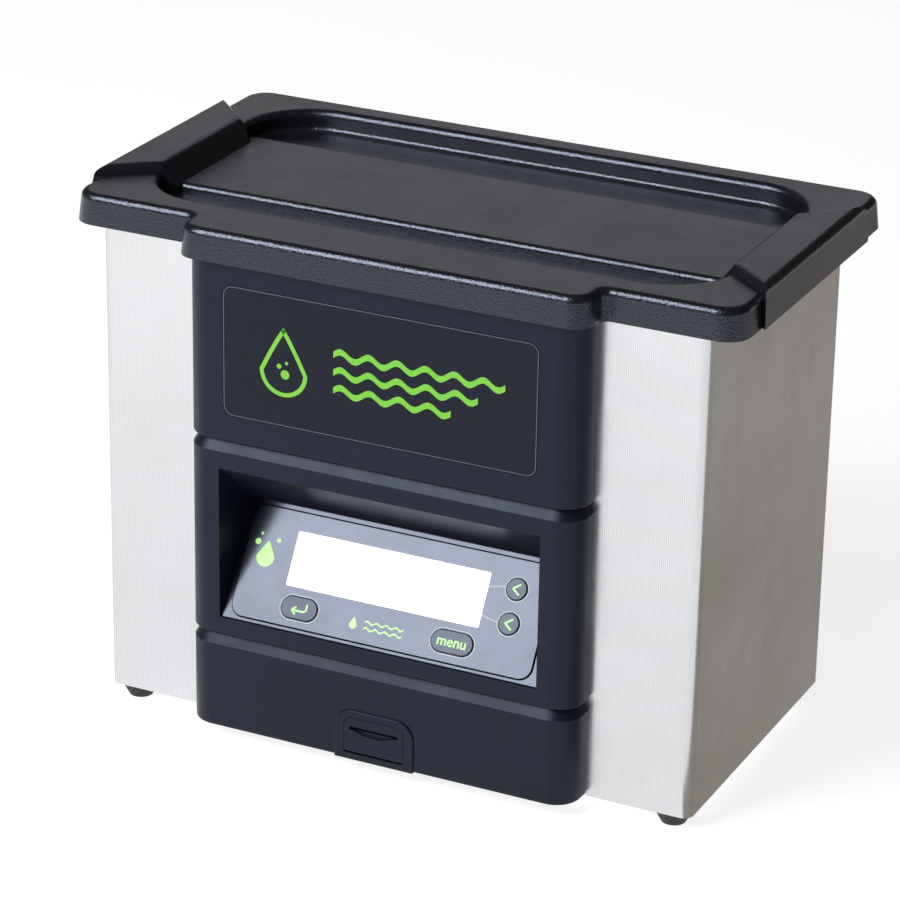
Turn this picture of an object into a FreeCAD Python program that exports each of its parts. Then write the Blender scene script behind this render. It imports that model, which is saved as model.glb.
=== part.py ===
import FreeCAD, Part
import math
import os

import Sketcher
from FreeCAD import Placement, Rotation, Vector

# Bench ultrasonic cleaner. Millimetres, +Z up, +Y towards the back, the front faces -Y.
# The origin is the centre of the object's outline at the level that the feet stand on.

DOC = FreeCAD.newDocument("ultrasonic_cleaner")

# ---------------------------------------------------------------- driving dimensions

DRIVING = (
    ("foot_height", 7.0, "rubber foot, height"),
    ("foot_top_radius", 9.5, "rubber foot, radius at the casing"),
    ("foot_base_radius", 5.75, "rubber foot, radius on the bench"),
    ("foot_inset", 9.5, "foot centre from the front and back faces"),
    ("foot_side_inset", 11.5, "foot centre from the side faces"),
    ("casing_width", 300.0, "steel wrap, outside width"),
    ("casing_depth", 162.0, "steel wrap, outside depth"),
    ("casing_height", 232.0, "steel wrap, height"),
    ("casing_corner", 5.0, "steel wrap, outside corner radius"),
    ("gauge", 1.2, "steel wrap, sheet thickness"),
    ("top_flange", 6.0, "steel wrap, width of the flange under the deck"),
    ("base_flange", 18.0, "steel wrap, width of the flange over the feet"),
    ("base_gauge", 1.5, "base plate, thickness"),
    ("overall_depth", 195.0, "lid, front of the nose to back of the rim"),
    ("nose_reach", 20.5, "lid nose beyond the casing front"),
    ("rim_reach", 3.5, "lid rim beyond the casing front"),
    ("rim_half_width", 165.0, "lid rim, half width at the bottom edge"),
    ("rim_corner", 12.0, "lid rim, corner radius in plan"),
    ("nose_half_width", 101.0, "lid nose, half width"),
    ("nose_corner", 10.0, "lid nose, corner radius in plan"),
    ("lid_height", 14.5, "lid skirt, bottom edge to top plane"),
    ("lid_wall", 2.5, "lid, wall thickness"),
    ("lid_draft", 5.0, "lid skirt, draft angle in degrees"),
    ("lid_edge_radius", 3.5, "lid, radius of its top edges"),
    ("pan_half_width", 141.5, "lid pan, half width"),
    ("pan_front", 14.0, "lid pan, front wall behind the casing front"),
    ("pan_back", 158.5, "lid pan, back wall behind the casing front"),
    ("pan_corner", 33.0, "lid pan, corner radius in plan"),
    ("pan_depth", 10.5, "lid pan, depth of its two troughs"),
    ("pan_floor", 2.4, "lid pan, floor thickness"),
    ("step_front", 47.0, "raised floor, front edge behind the casing front"),
    ("step_back", 125.0, "raised floor, back edge behind the casing front"),
    ("step_height", 4.2, "raised floor above the troughs"),
    ("grip_half_width", 166.8, "lid grip, outer face from the centre"),
    ("grip_inner_edge", 134.8, "lid grip, inner face at the pan floor from the centre"),
    ("grip_corner", 4.5, "lid grip, radius of its inner corners"),
    ("grip_top_radius", 4.0, "lid grip, radius round its top"),
    ("tilt_pivot_radius", 1.2, "power switch rocker, radius of its pivots"),
    ("grip_height", 4.0, "lid grip above the lid's top plane"),
    ("deck_thickness", 1.0, "tank, sheet thickness"),
    ("seal_thickness", 0.6, "seal between the wrap and the tank deck"),
    ("tank_width", 240.0, "tank, inside width"),
    ("tank_depth", 137.0, "tank, inside front to back"),
    ("tank_drop", 100.0, "tank, deck to floor"),
    ("tank_front", 17.0, "tank, inside front wall behind the casing front"),
    ("tank_corner", 16.0, "tank, inside corner radius"),
    ("tank_heel", 12.0, "tank, inside radius between wall and floor"),
    ("fascia_half_width", 98.5, "fascia, half width"),
    ("fascia_reach", 16.9, "fascia, front face beyond the casing front"),
    ("fascia_corner", 12.5, "fascia, vertical corner radius"),
    ("fascia_wall", 2.5, "fascia, wall thickness"),
    ("fascia_gap", 0.6, "gap between neighbouring fascia mouldings"),
    ("bevel_height", 5.0, "fascia, height of the bevel under each seam"),
    ("bevel_depth", 3.0, "fascia, depth of the bevel under each seam"),
    ("lower_seam", 47.8, "lower seam above the casing bottom"),
    ("upper_seam", 145.2, "upper seam above the casing bottom"),
    ("fascia_top_height", 231.4, "top of the upper moulding above the casing bottom"),
    ("label_half_width", 77.7, "label plate, half width"),
    ("label_low", 158.6, "label plate, bottom edge above the casing bottom"),
    ("label_high", 221.2, "label plate, top edge above the casing bottom"),
    ("label_corner", 5.0, "label plate, corner radius"),
    ("label_thickness", 0.6, "label plate, thickness"),
    ("bay_half_width", 80.5, "control bay, half width"),
    ("bay_low", 56.8, "control bay, bottom edge above the casing bottom"),
    ("bay_high", 131.5, "control bay, top edge above the casing bottom"),
    ("bay_sill", 1.4, "control bay, sill in front of the sloped panel"),
    ("panel_slope", 59.0, "sloped panel, angle from level in degrees"),
    ("panel_length", 57.3, "sloped panel, length up the slope"),
    ("panel_wall", 3.0, "sloped panel, thickness"),
    ("overlay_half_width", 76.0, "control overlay, half width"),
    ("overlay_low", 2.0, "control overlay, bottom edge up the slope"),
    ("overlay_high", 54.5, "control overlay, top edge up the slope"),
    ("overlay_thickness", 1.2, "control overlay, thickness"),
    ("overlay_corner", 6.0, "control overlay, corner radius"),
    ("display_left", -52.0, "display window, left edge"),
    ("display_right", 46.4, "display window, right edge"),
    ("display_low", 20.3, "display window, bottom edge up the slope"),
    ("display_high", 46.1, "display window, top edge up the slope"),
    ("key_travel", 0.6, "key, travel"),
    ("key_rise", 0.7, "key, height of its face above the overlay"),
    ("key_height", 10.6, "long key, height and width of its round ends"),
    ("key_gap", 0.2, "gap round each key"),
    ("board_depth", 11.0, "control board, underside below the sloped face"),
    ("board_gauge", 1.6, "circuit boards, thickness"),
    ("hatch_half_width", 15.0, "drain hatch, half width"),
    ("hatch_low", 3.3, "drain hatch, bottom edge above the casing bottom"),
    ("hatch_high", 21.3, "drain hatch, top edge above the casing bottom"),
    ("hatch_thickness", 2.0, "drain hatch, thickness"),
    ("hatch_corner", 4.0, "drain hatch, radius of its upper corners"),
    ("hatch_gap", 0.25, "gap round the drain hatch"),
    ("hinge_radius", 1.6, "drain hatch, radius of the hinge knuckle"),
    ("pin_radius", 0.7, "drain hatch, hinge pin radius"),
    ("arch_half_width", 20.2, "raised arch round the hatch, half width"),
    ("arch_height", 24.9, "raised arch round the hatch, height"),
    ("arch_relief", 1.0, "raised arch round the hatch, relief"),
    ("transducer_offset", 58.0, "transducer from the centre of the tank"),
    ("transducer_radius", 17.5, "transducer, radius of rings and back mass"),
    ("horn_height", 20.0, "transducer, height of the bell"),
    ("ring_height", 5.0, "transducer, height of one ceramic ring"),
    ("tab_height", 0.3, "transducer, thickness of an electrode"),
    ("mass_height", 16.0, "transducer, height of the back mass"),
    ("drain_setback", 40.0, "drain centre behind the casing front"),
    ("valve_level", 12.5, "drain valve centre above the casing bottom"),
    ("inlet_centre", -112.0, "mains inlet, centre from the middle of the back"),
    ("rocker_tilt", 9.0, "power switch, tilt of the rocker to either side in degrees"),
    ("rocker_half_width", 7.6, "power switch, half width of the rocker"),
    ("inlet_level", 31.0, "mains inlet, centre above the casing bottom"),
    ("switch_centre", -72.0, "power switch, centre from the middle of the back"),
)


class Size:
    """A number together with the spreadsheet formula that gives it."""

    def __init__(self, value, formula):
        self.value = float(value)
        self.formula = formula

    def joined(self, sign, other, value):
        return Size(value, "({} {} {})".format(self.formula, sign, size(other).formula))

    def __add__(self, other):
        return self.joined("+", other, self.value + size(other).value)

    def __sub__(self, other):
        return self.joined("-", other, self.value - size(other).value)

    def __mul__(self, other):
        return self.joined("*", other, self.value * size(other).value)

    def __truediv__(self, other):
        return self.joined("/", other, self.value / size(other).value)

    def __radd__(self, other):
        return size(other) + self

    def __rsub__(self, other):
        return size(other) - self

    def __rmul__(self, other):
        return size(other) * self

    def __neg__(self):
        return size(0) - self


def size(number):
    """Give a plain number the same interface as a value of the sheet."""
    if isinstance(number, Size):
        return number
    return Size(number, "({:.6f})".format(number))


def make_sheet():
    """Write the driving dimensions into a spreadsheet and return them by name."""
    sheet = DOC.addObject("Spreadsheet::Sheet", "Dimensions")
    sizes = {}
    for row, (name, value, meaning) in enumerate(DRIVING, start=1):
        sheet.set("A{}".format(row), name)
        sheet.set("B{}".format(row), str(value))
        sheet.set("C{}".format(row), meaning)
        sheet.setAlias("B{}".format(row), name)
        sizes[name] = Size(value, "Dimensions." + name)
    DOC.recompute()
    return sizes


D = make_sheet()

FRONT = D["nose_reach"] - D["overall_depth"] / 2
BACK = FRONT + D["casing_depth"]
SIDE = D["casing_width"] / 2
BOTTOM = D["foot_height"]
CASING_TOP = BOTTOM + D["casing_height"]
DECK_TOP = CASING_TOP + D["seal_thickness"] + D["deck_thickness"]
LID_TOP = CASING_TOP + D["lid_height"]
FASCIA_FRONT = FRONT - D["fascia_reach"]
BASE_TOP = BOTTOM + D["gauge"] + D["base_gauge"]
TANK_FLOOR = DECK_TOP - D["tank_drop"]
TANK_UNDER = TANK_FLOOR - D["deck_thickness"]
TANK_INSIDE_FRONT = FRONT + D["tank_front"]
TANK_INSIDE_BACK = TANK_INSIDE_FRONT + D["tank_depth"]
TANK_MIDDLE = (TANK_INSIDE_FRONT + TANK_INSIDE_BACK) / 2
DRAIN_Y = FRONT + D["drain_setback"]
VALVE_Z = BOTTOM + D["valve_level"]

SLOPE_COS = Size(math.cos(math.radians(D["panel_slope"].value)), "cos(Dimensions.panel_slope)")
SLOPE_SIN = Size(math.sin(math.radians(D["panel_slope"].value)), "sin(Dimensions.panel_slope)")
SLOPE_Y = FASCIA_FRONT + D["bay_sill"]
SLOPE_Z = BOTTOM + D["bay_low"]
SLOPE_TURN = Rotation(Vector(1, 0, 0), D["panel_slope"].value)

ALONG_X = Rotation(Vector(0, 1, 0), 90)
ALONG_Y = Rotation(Vector(1, 0, 0), -90)
BACKWARD = Rotation(Vector(1, 0, 0), 90)

NODES = []


# ---------------------------------------------------------------- helpers

def bind(owner, path, value):
    """Tie one property of a document object to the sheet."""
    owner.setExpression(path, size(value).formula)


def place(owner, x=0, y=0, z=0, turn=None):
    """Put a document object at a place that the sheet gives."""
    if turn is not None:
        owner.Placement = Placement(Vector(), turn)
    for axis, value in (("x", x), ("y", y), ("z", z)):
        bind(owner, "Placement.Base." + axis, value)
    return owner


def on_slope(across, up, out):
    """Return x, y, z of a point given across, up and out of the sloped panel."""
    y = SLOPE_Y + size(up) * SLOPE_COS - size(out) * SLOPE_SIN
    z = SLOPE_Z + size(up) * SLOPE_SIN + size(out) * SLOPE_COS
    return size(across), y, z


def node(owner, label):
    """Register a finished sub-part under its node name."""
    owner.Label = label
    NODES.append(owner)
    return owner


def box(low, high, turn=None, origin=None):
    """Make a box from its low corner to its high corner."""
    block = DOC.addObject("Part::Box", "box")
    for prop, start, end in zip(("Length", "Width", "Height"), low, high):
        bind(block, prop, size(end) - size(start))
    base = low if origin is None else origin
    return place(block, base[0], base[1], base[2], turn)


def slope_box(low, high):
    """Make a box whose corners are given across, up and out of the sloped panel."""
    return box(low, high, SLOPE_TURN, on_slope(*low))


def cylinder(radius, height, x, y, z, turn=None):
    """Make a cylinder whose base is at x, y, z."""
    rod = DOC.addObject("Part::Cylinder", "cylinder")
    bind(rod, "Radius", radius)
    bind(rod, "Height", height)
    return place(rod, x, y, z, turn)


def cone(base_radius, top_radius, height, x, y, z, turn=None):
    """Make a truncated cone whose base is at x, y, z."""
    frustum = DOC.addObject("Part::Cone", "cone")
    bind(frustum, "Radius1", base_radius)
    bind(frustum, "Radius2", top_radius)
    bind(frustum, "Height", height)
    return place(frustum, x, y, z, turn)


def hexagon(radius, height, x, y, z):
    """Make a six-sided prism whose base is at x, y, z."""
    prism = DOC.addObject("Part::Prism", "hexagon")
    prism.Polygon = 6
    bind(prism, "Circumradius", radius)
    bind(prism, "Height", height)
    return place(prism, x, y, z)


def cut(base, *tools):
    """Take tools away from a base, one after another."""
    for tool in tools:
        before = DOC.addObject("Part::Cut", "cut")
        before.Base = base
        before.Tool = tool
        base = before
    return base


def fuse(*shapes):
    """Join touching shapes into one solid."""
    joined = DOC.addObject("Part::MultiFuse", "fuse")
    joined.Shapes = list(shapes)
    joined.Refine = True
    return joined


def group(*shapes):
    """Keep identical solids together in one node."""
    together = DOC.addObject("Part::Compound", "group")
    together.Links = list(shapes)
    return together


def tube(outer, inner, height, x, y, z, turn=None):
    """Make a plain tube whose base is at x, y, z."""
    return cut(cylinder(outer, height, x, y, z, turn), cylinder(inner, height, x, y, z, turn))


def edge_names(feature, test):
    """Name the edges of a feature that a test on the edge accepts."""
    chosen = []
    for index, edge in enumerate(feature.Shape.Edges, start=1):
        if test(edge):
            chosen.append("Edge{}".format(index))
    if not chosen:
        raise RuntimeError("no edge chosen on " + feature.Label)
    return chosen


def rounded(base, radius, test):
    """Fillet the chosen edges of a plain solid."""
    DOC.recompute()
    fillet = DOC.addObject("Part::Fillet", "fillet")
    fillet.Base = base
    numbers = [int(name[4:]) for name in edge_names(base, test)]
    fillet.Edges = [(number, size(radius).value, size(radius).value) for number in numbers]
    return fillet


def upright(edge):
    """Say whether an edge is a straight vertical one."""
    limits = edge.BoundBox
    return limits.ZLength > 0.5 and limits.XLength < 1e-4 and limits.YLength < 1e-4


def level_at(height, tolerance=0.01):
    """Return a test for edges that lie at one height."""
    def lies_level(edge):
        limits = edge.BoundBox
        middle = (limits.ZMin + limits.ZMax) / 2
        return limits.ZLength < tolerance and abs(middle - size(height).value) < tolerance
    return lies_level


def bent_tube(points, radius, bend):
    """Sweep a round section along straight runs joined by tangent arcs."""
    runs = []
    start = points[0]
    for before, corner, after in zip(points, points[1:], points[2:]):
        arriving = (corner - before).normalize()
        leaving = (after - corner).normalize()
        turn = arriving.getAngle(leaving)
        reach = bend * math.tan(turn / 2)
        first = corner - arriving * reach
        last = corner + leaving * reach
        inward = (leaving - arriving).normalize()
        middle = corner + inward * (bend / math.cos(turn / 2) - bend)
        runs.append(Part.LineSegment(start, first).toShape())
        runs.append(Part.Arc(first, middle, last).toShape())
        start = last
    runs.append(Part.LineSegment(start, points[-1]).toShape())
    path = Part.Wire(runs)
    section = Part.Wire(Part.makeCircle(radius, points[0], points[1] - points[0]))
    return path.makePipeShell([section], True, False)


class SketchedBody:
    """A PartDesign body that is built up from sketches on its own origin planes."""

    def __init__(self, label):
        self.body = DOC.addObject("PartDesign::Body", label)
        node(self.body, label)

    def plane(self, role):
        return [item for item in self.body.Origin.OriginFeatures if item.Role == role][0]

    def sketch(self, role, offset=0):
        drawing = self.body.newObject("Sketcher::SketchObject", "sketch")
        drawing.AttachmentSupport = (self.plane(role), [""])
        drawing.MapMode = "FlatFace"
        bind(drawing, "AttachmentOffset.Base.z", offset)
        return drawing

    def level(self, height):
        """Start a sketch on a level plane, seen from above."""
        return self.sketch("XY_Plane", height)

    def facing(self, distance):
        """Start a sketch on a plane that faces the front, at a given y."""
        return self.sketch("XZ_Plane", -size(distance))

    def section(self, distance):
        """Start a sketch on a cross-section plane, at a given x."""
        return self.sketch("YZ_Plane", distance)

    def slope(self):
        """Start a sketch on the sloped panel's face."""
        drawing = self.sketch("XY_Plane", SLOPE_Z)
        drawing.AttachmentOffset = Placement(Vector(), SLOPE_TURN)
        bind(drawing, "AttachmentOffset.Base.y", SLOPE_Y)
        bind(drawing, "AttachmentOffset.Base.z", SLOPE_Z)
        return drawing

    def feature(self, kind):
        made = self.body.newObject("PartDesign::" + kind, kind.lower())
        self.body.Tip = made
        return made

    def pad(self, drawing, length, taper=None):
        """Add material along the sketch's normal."""
        made = self.feature("Pad")
        made.Profile = drawing
        bind(made, "Length", length)
        if taper is not None:
            bind(made, "TaperAngle", -size(taper))
        DOC.recompute()
        return made

    def pocket(self, drawing, length, forward=False):
        """Take material away against the sketch's normal, or along it."""
        before = self.body.Shape.Volume
        made = self.feature("Pocket")
        made.Profile = drawing
        made.Reversed = forward
        bind(made, "Length", length)
        DOC.recompute()
        if self.body.Shape.Volume > before - 0.01:
            raise RuntimeError("a pocket of {} cuts nothing".format(self.body.Label))
        return made

    def loft(self, first, second):
        """Add material between two sketches."""
        made = self.feature("AdditiveLoft")
        made.Profile = first
        made.Sections = [second]
        made.Ruled = True
        DOC.recompute()
        return made

    def fillet(self, radius, test):
        """Round the chosen edges."""
        last = self.body.Tip
        names = edge_names(last, test)
        made = self.feature("Fillet")
        made.Base = (last, names)
        bind(made, "Radius", radius)
        DOC.recompute()
        return made

    def bevel(self, height, depth, test):
        """Bevel the chosen edges by two distances."""
        last = self.body.Tip
        names = edge_names(last, test)
        made = self.feature("Chamfer")
        made.Base = (last, names)
        made.ChamferType = "Two distances"
        bind(made, "Size", height)
        bind(made, "Size2", depth)
        DOC.recompute()
        return made

    def row(self, feature, length, count):
        """Repeat a feature in a row along X."""
        made = self.body.newObject("PartDesign::LinearPattern", "row")
        made.Originals = [feature]
        made.Direction = (self.plane("X_Axis"), [""])
        bind(made, "Length", length)
        made.Occurrences = count
        self.body.Tip = made
        DOC.recompute()
        return made

    def mirror(self, features):
        """Repeat features on the other side of the centre plane."""
        made = self.body.newObject("PartDesign::Mirrored", "mirror")
        made.Originals = features
        made.MirrorPlane = (self.plane("YZ_Plane"), [""])
        self.body.Tip = made
        DOC.recompute()
        return made


def fix_point(drawing, geometry, position, across, up):
    """Tie one point of a sketch to the sheet."""
    for kind, value in (("DistanceX", across), ("DistanceY", up)):
        amount = size(value)
        index = drawing.addConstraint(
            Sketcher.Constraint(kind, -1, 1, geometry, position, amount.value))
        drawing.setExpression("Constraints[{}]".format(index), amount.formula)


def polygon(drawing, corners):
    """Draw a closed outline of straight lines through the corners."""
    first = drawing.GeometryCount
    points = [Vector(size(x).value, size(y).value, 0) for x, y in corners]
    count = len(points)
    for index, point in enumerate(points):
        drawing.addGeometry(Part.LineSegment(point, points[(index + 1) % count]), False)
    for index in range(count):
        following = first + (index + 1) % count
        drawing.addConstraint(Sketcher.Constraint("Coincident", first + index, 2, following, 1))
    for index, (x, y) in enumerate(corners):
        fix_point(drawing, first + index, 1, x, y)
    return drawing


def rectangle(drawing, left, right, low, high):
    """Draw a rectangle."""
    return polygon(drawing, ((left, low), (right, low), (right, high), (left, high)))


def rounded_rectangle(drawing, left, right, low, high, radius):
    """Draw a rectangle with four equal round corners."""
    left, right, low, high, radius = (size(item) for item in (left, right, low, high, radius))
    first = drawing.GeometryCount
    r = radius.value
    west, east, south, north = left.value, right.value, low.value, high.value
    centres = ((east - r, south + r), (east - r, north - r), (west + r, north - r), (west + r, south + r))
    starts = ((west + r, south), (east, south + r), (east - r, north), (west, north - r))
    ends = ((east - r, south), (east, north - r), (west + r, north), (west, south + r))
    for quarter, (centre, start, end) in enumerate(zip(centres, starts, ends)):
        line = Part.LineSegment(Vector(start[0], start[1], 0), Vector(end[0], end[1], 0))
        circle = Part.Circle(Vector(centre[0], centre[1], 0), Vector(0, 0, 1), r)
        begin = (quarter - 1) * math.pi / 2
        drawing.addGeometry(line, False)
        drawing.addGeometry(Part.ArcOfCircle(circle, begin, begin + math.pi / 2), False)
    for quarter in range(4):
        line = first + 2 * quarter
        following = first + (2 * quarter + 2) % 8
        drawing.addConstraint(Sketcher.Constraint("Tangent", line, 2, line + 1, 1))
        drawing.addConstraint(Sketcher.Constraint("Tangent", line + 1, 2, following, 1))
        drawing.addConstraint(Sketcher.Constraint("Horizontal" if quarter % 2 == 0 else "Vertical", line))
        if quarter:
            drawing.addConstraint(Sketcher.Constraint("Equal", first + 1, line + 1))
    index = drawing.addConstraint(Sketcher.Constraint("Radius", first + 1, r))
    drawing.setExpression("Constraints[{}]".format(index), radius.formula)
    for kind, line, value in (("DistanceY", first, low), ("DistanceX", first + 2, right),
                              ("DistanceY", first + 4, high), ("DistanceX", first + 6, left)):
        index = drawing.addConstraint(Sketcher.Constraint(kind, -1, 1, line, 1, value.value))
        drawing.setExpression("Constraints[{}]".format(index), value.formula)
    return drawing


def circle(drawing, radius, x, y):
    """Draw a circle."""
    amount = size(radius)
    centre = Vector(size(x).value, size(y).value, 0)
    geometry = drawing.addGeometry(Part.Circle(centre, Vector(0, 0, 1), amount.value), False)
    index = drawing.addConstraint(Sketcher.Constraint("Radius", geometry, amount.value))
    drawing.setExpression("Constraints[{}]".format(index), amount.formula)
    fix_point(drawing, geometry, 3, x, y)
    return drawing


# ---------------------------------------------------------------- casing, base and feet

FOOT_X = SIDE - D["foot_side_inset"]
FOOT_PLACES = (
    ("front_left", -FOOT_X, FRONT + D["foot_inset"]),
    ("front_right", FOOT_X, FRONT + D["foot_inset"]),
    ("back_left", -FOOT_X, BACK - D["foot_inset"]),
    ("back_right", FOOT_X, BACK - D["foot_inset"]),
)
BASE_SCREW_PLACES = ((-60, -68), (60, -68), (-60, 76), (60, 76), (-141, 4), (141, 4))
FASCIA_SCREW_X = 90
FASCIA_SCREW_LEVELS = (9, 40, 54, 138, 155, 223)
VENT_COUNT = 9
FOOT_HOLE = 2.15
SCREW_HOLE = 1.75


def casing_outline(drawing, inset, corner):
    """Draw the plan of the casing, drawn in by an inset."""
    return rounded_rectangle(drawing, inset - SIDE, SIDE - inset, FRONT + inset, BACK - inset, corner)


def build_casing():
    """Sheet steel wrap with flanges, the control and drain windows and the rear cut-outs."""
    wrap = SketchedBody("casing_wrap")
    inside = D["gauge"]
    flange_corner = 2
    walls = casing_outline(wrap.level(BOTTOM), size(0), D["casing_corner"])
    casing_outline(walls, inside, D["casing_corner"] - inside)
    wrap.pad(walls, D["casing_height"])
    for level, width in ((BOTTOM, D["base_flange"]), (CASING_TOP - D["gauge"], D["top_flange"])):
        flange = casing_outline(wrap.level(level), size(0), D["casing_corner"])
        casing_outline(flange, width, flange_corner)
        wrap.pad(flange, D["gauge"])
    front = wrap.facing(FRONT - 1)
    rounded_rectangle(front, -86, 86, BOTTOM + 50, BOTTOM + 126, 4)
    rounded_rectangle(front, -17, 17, BOTTOM + 3, BOTTOM + 24, 2)
    for level in FASCIA_SCREW_LEVELS:
        for side in (-1, 1):
            circle(front, SCREW_HOLE, side * FASCIA_SCREW_X, BOTTOM + level)
    wrap.pocket(front, 3)
    rear = wrap.facing(BACK + 1)
    inlet_z = BOTTOM + D["inlet_level"]
    rounded_rectangle(rear, D["inlet_centre"] - 13.6, D["inlet_centre"] + 13.6, inlet_z - 16.2, inlet_z + 10.2, 0.4)
    rounded_rectangle(rear, D["switch_centre"] - 10, D["switch_centre"] + 10, inlet_z - 6.8, inlet_z + 6.8, 0.4)
    for side in (-1, 1):
        circle(rear, SCREW_HOLE, D["inlet_centre"] + side * 20, inlet_z)
    wrap.pocket(rear, 3, forward=True)
    slot = wrap.facing(BACK + 1)
    rounded_rectangle(slot, 10, 14, BOTTOM + 20, BOTTOM + 60, 1.9)
    vent = wrap.pocket(slot, 3, forward=True)
    wrap.row(vent, 96, VENT_COUNT)
    holes = wrap.level(BOTTOM + D["gauge"] + 1)
    for name, x, y in FOOT_PLACES:
        circle(holes, FOOT_HOLE, x, y)
    for x, y in BASE_SCREW_PLACES:
        circle(holes, SCREW_HOLE, x, y)
    wrap.pocket(holes, D["gauge"] + 2)


def build_base():
    """Base plate on the casing's lower flange, with a row of air slots."""
    plate = SketchedBody("base_plate")
    level = BOTTOM + D["gauge"]
    clearance = D["gauge"] + 0.3
    outline = casing_outline(plate.level(level), clearance, 3.5)
    for name, x, y in FOOT_PLACES:
        circle(outline, FOOT_HOLE, x, y)
    for x, y in BASE_SCREW_PLACES:
        circle(outline, SCREW_HOLE, x, y)
    plate.pad(outline, D["base_gauge"])
    slot = plate.level(level + D["base_gauge"] + 1)
    rounded_rectangle(slot, -120, -116, -20, 40, 1.9)
    vent = plate.pocket(slot, D["base_gauge"] + 2)
    plate.row(vent, 80, VENT_COUNT)


def headed_screw(shank, length, head, thickness, x, y, z, turn=None, away=None):
    """Make a screw: the head starts at x, y, z and the shank goes on from it."""
    step = (0, 0, 1) if away is None else away
    start = [size(value) + size(thickness) * part for value, part in zip((x, y, z), step)]
    return fuse(cylinder(head, thickness, x, y, z, turn), cylinder(shank, length, *start, turn=turn))


def build_feet():
    """Four rubber feet with their screws, and the small screws of the base plate and the inlet."""
    recess = 3
    head = 2.2
    for name, x, y in FOOT_PLACES:
        block = cone(D["foot_base_radius"], D["foot_top_radius"], D["foot_height"], x, y, 0)
        foot = cut(block, cylinder(3.7, recess, x, y, 0), cylinder(2.1, D["foot_height"], x, y, 0))
        node(foot, "rubber_foot_" + name)
    screws = [headed_screw(2, 11, 3.4, head, x, y, recess - head) for name, x, y in FOOT_PLACES]
    node(group(*screws), "foot_screws")
    screws = [headed_screw(1.6, 6, 3, 1.6, x, y, BOTTOM - 1.6) for x, y in BASE_SCREW_PLACES]
    level = BOTTOM + D["inlet_level"]
    screws += [headed_screw(1.6, 6, 3, 1.6, D["inlet_centre"] + side * 20, BACK + 4.6, level, BACKWARD, (0, -1, 0))
               for side in (-1, 1)]
    node(group(*screws), "panel_screws")


# ---------------------------------------------------------------- tank and lid

def pressed_block(left, right, near, far, low, high, corner, heel):
    """Make a block with round corners in plan and a round heel, like a pressing."""
    upright_rounded = rounded(box((left, near, low), (right, far, high)), corner, upright)
    return rounded(upright_rounded, heel, level_at(low))


def build_tank():
    """Pressed tank with its deck, and the seal under the deck."""
    sheet = D["deck_thickness"]
    half = D["tank_width"] / 2
    edge = 0.2
    deck = rounded(box((edge - SIDE, FRONT + edge, DECK_TOP - sheet), (SIDE - edge, BACK - edge, DECK_TOP)),
                   D["casing_corner"], upright)
    shell = pressed_block(-half - sheet, half + sheet, TANK_INSIDE_FRONT - sheet, TANK_INSIDE_BACK + sheet,
                          TANK_UNDER, DECK_TOP - sheet, D["tank_corner"] + sheet, D["tank_heel"] + sheet)
    inside = pressed_block(-half, half, TANK_INSIDE_FRONT, TANK_INSIDE_BACK, TANK_FLOOR, DECK_TOP + 1,
                           D["tank_corner"], D["tank_heel"])
    drain = cylinder(6.1, 4, 0, DRAIN_Y, TANK_UNDER - 1)
    node(cut(fuse(deck, shell), inside, drain), "tank")

    seal = SketchedBody("tank_seal")
    ring = casing_outline(seal.level(CASING_TOP), size(1), 4)
    casing_outline(ring, D["top_flange"] - 1, 3)
    seal.pad(ring, D["seal_thickness"])


def lid_outline(drawing, inset=0):
    """Draw the plan of the lid: a rim with a nose over the fascia."""
    wide = D["rim_half_width"] - inset
    nose = D["nose_half_width"] - inset
    front = FRONT - D["rim_reach"] + inset
    tip = FRONT - D["nose_reach"] + inset
    back = tip + D["overall_depth"] - 2 * inset
    return polygon(drawing, ((-wide, front), (-nose, front), (-nose, tip), (nose, tip), (nose, front),
                             (wide, front), (wide, back), (-wide, back)))


def pan_outline(drawing, inset=0, low=None, high=None):
    """Draw the plan of the lid's pan, or of a band across it."""
    wide = D["pan_half_width"] - inset
    start = FRONT + D["pan_front"] + inset if low is None else low
    end = FRONT + D["pan_back"] - inset if high is None else high
    return rounded_rectangle(drawing, -wide, wide, start, end, D["pan_corner"] - inset)


def vertical_near(x, y, reach=3.0):
    """Return a test for steep edges that start near a place in plan."""
    def stands_there(edge):
        limits = edge.BoundBox
        if limits.ZLength < 5:
            return False
        foot = min(edge.Vertexes, key=lambda point: point.Z)
        return abs(abs(foot.X) - size(x).value) < reach and abs(foot.Y - size(y).value) < reach
    return stands_there


def grip_plan(drawing, inner, outer, front_outer, front_inner, back_inner, back_outer):
    """Draw a grip's trapezium in plan on the right-hand side."""
    return polygon(drawing, ((outer, FRONT + front_outer), (outer, FRONT + back_outer),
                             (inner, FRONT + back_inner), (inner, FRONT + front_inner)))


def inside_pan(edge):
    """Say whether an edge lies on the pan's outline, away from the lid's own edge."""
    limits = edge.BoundBox
    reach = (D["pan_half_width"] + 1).value
    return limits.XMax < reach and limits.XMin > -reach and limits.YMin > (FRONT + D["pan_front"] - 1).value \
        and limits.YMax < (FRONT + D["pan_back"] + 1).value


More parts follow.
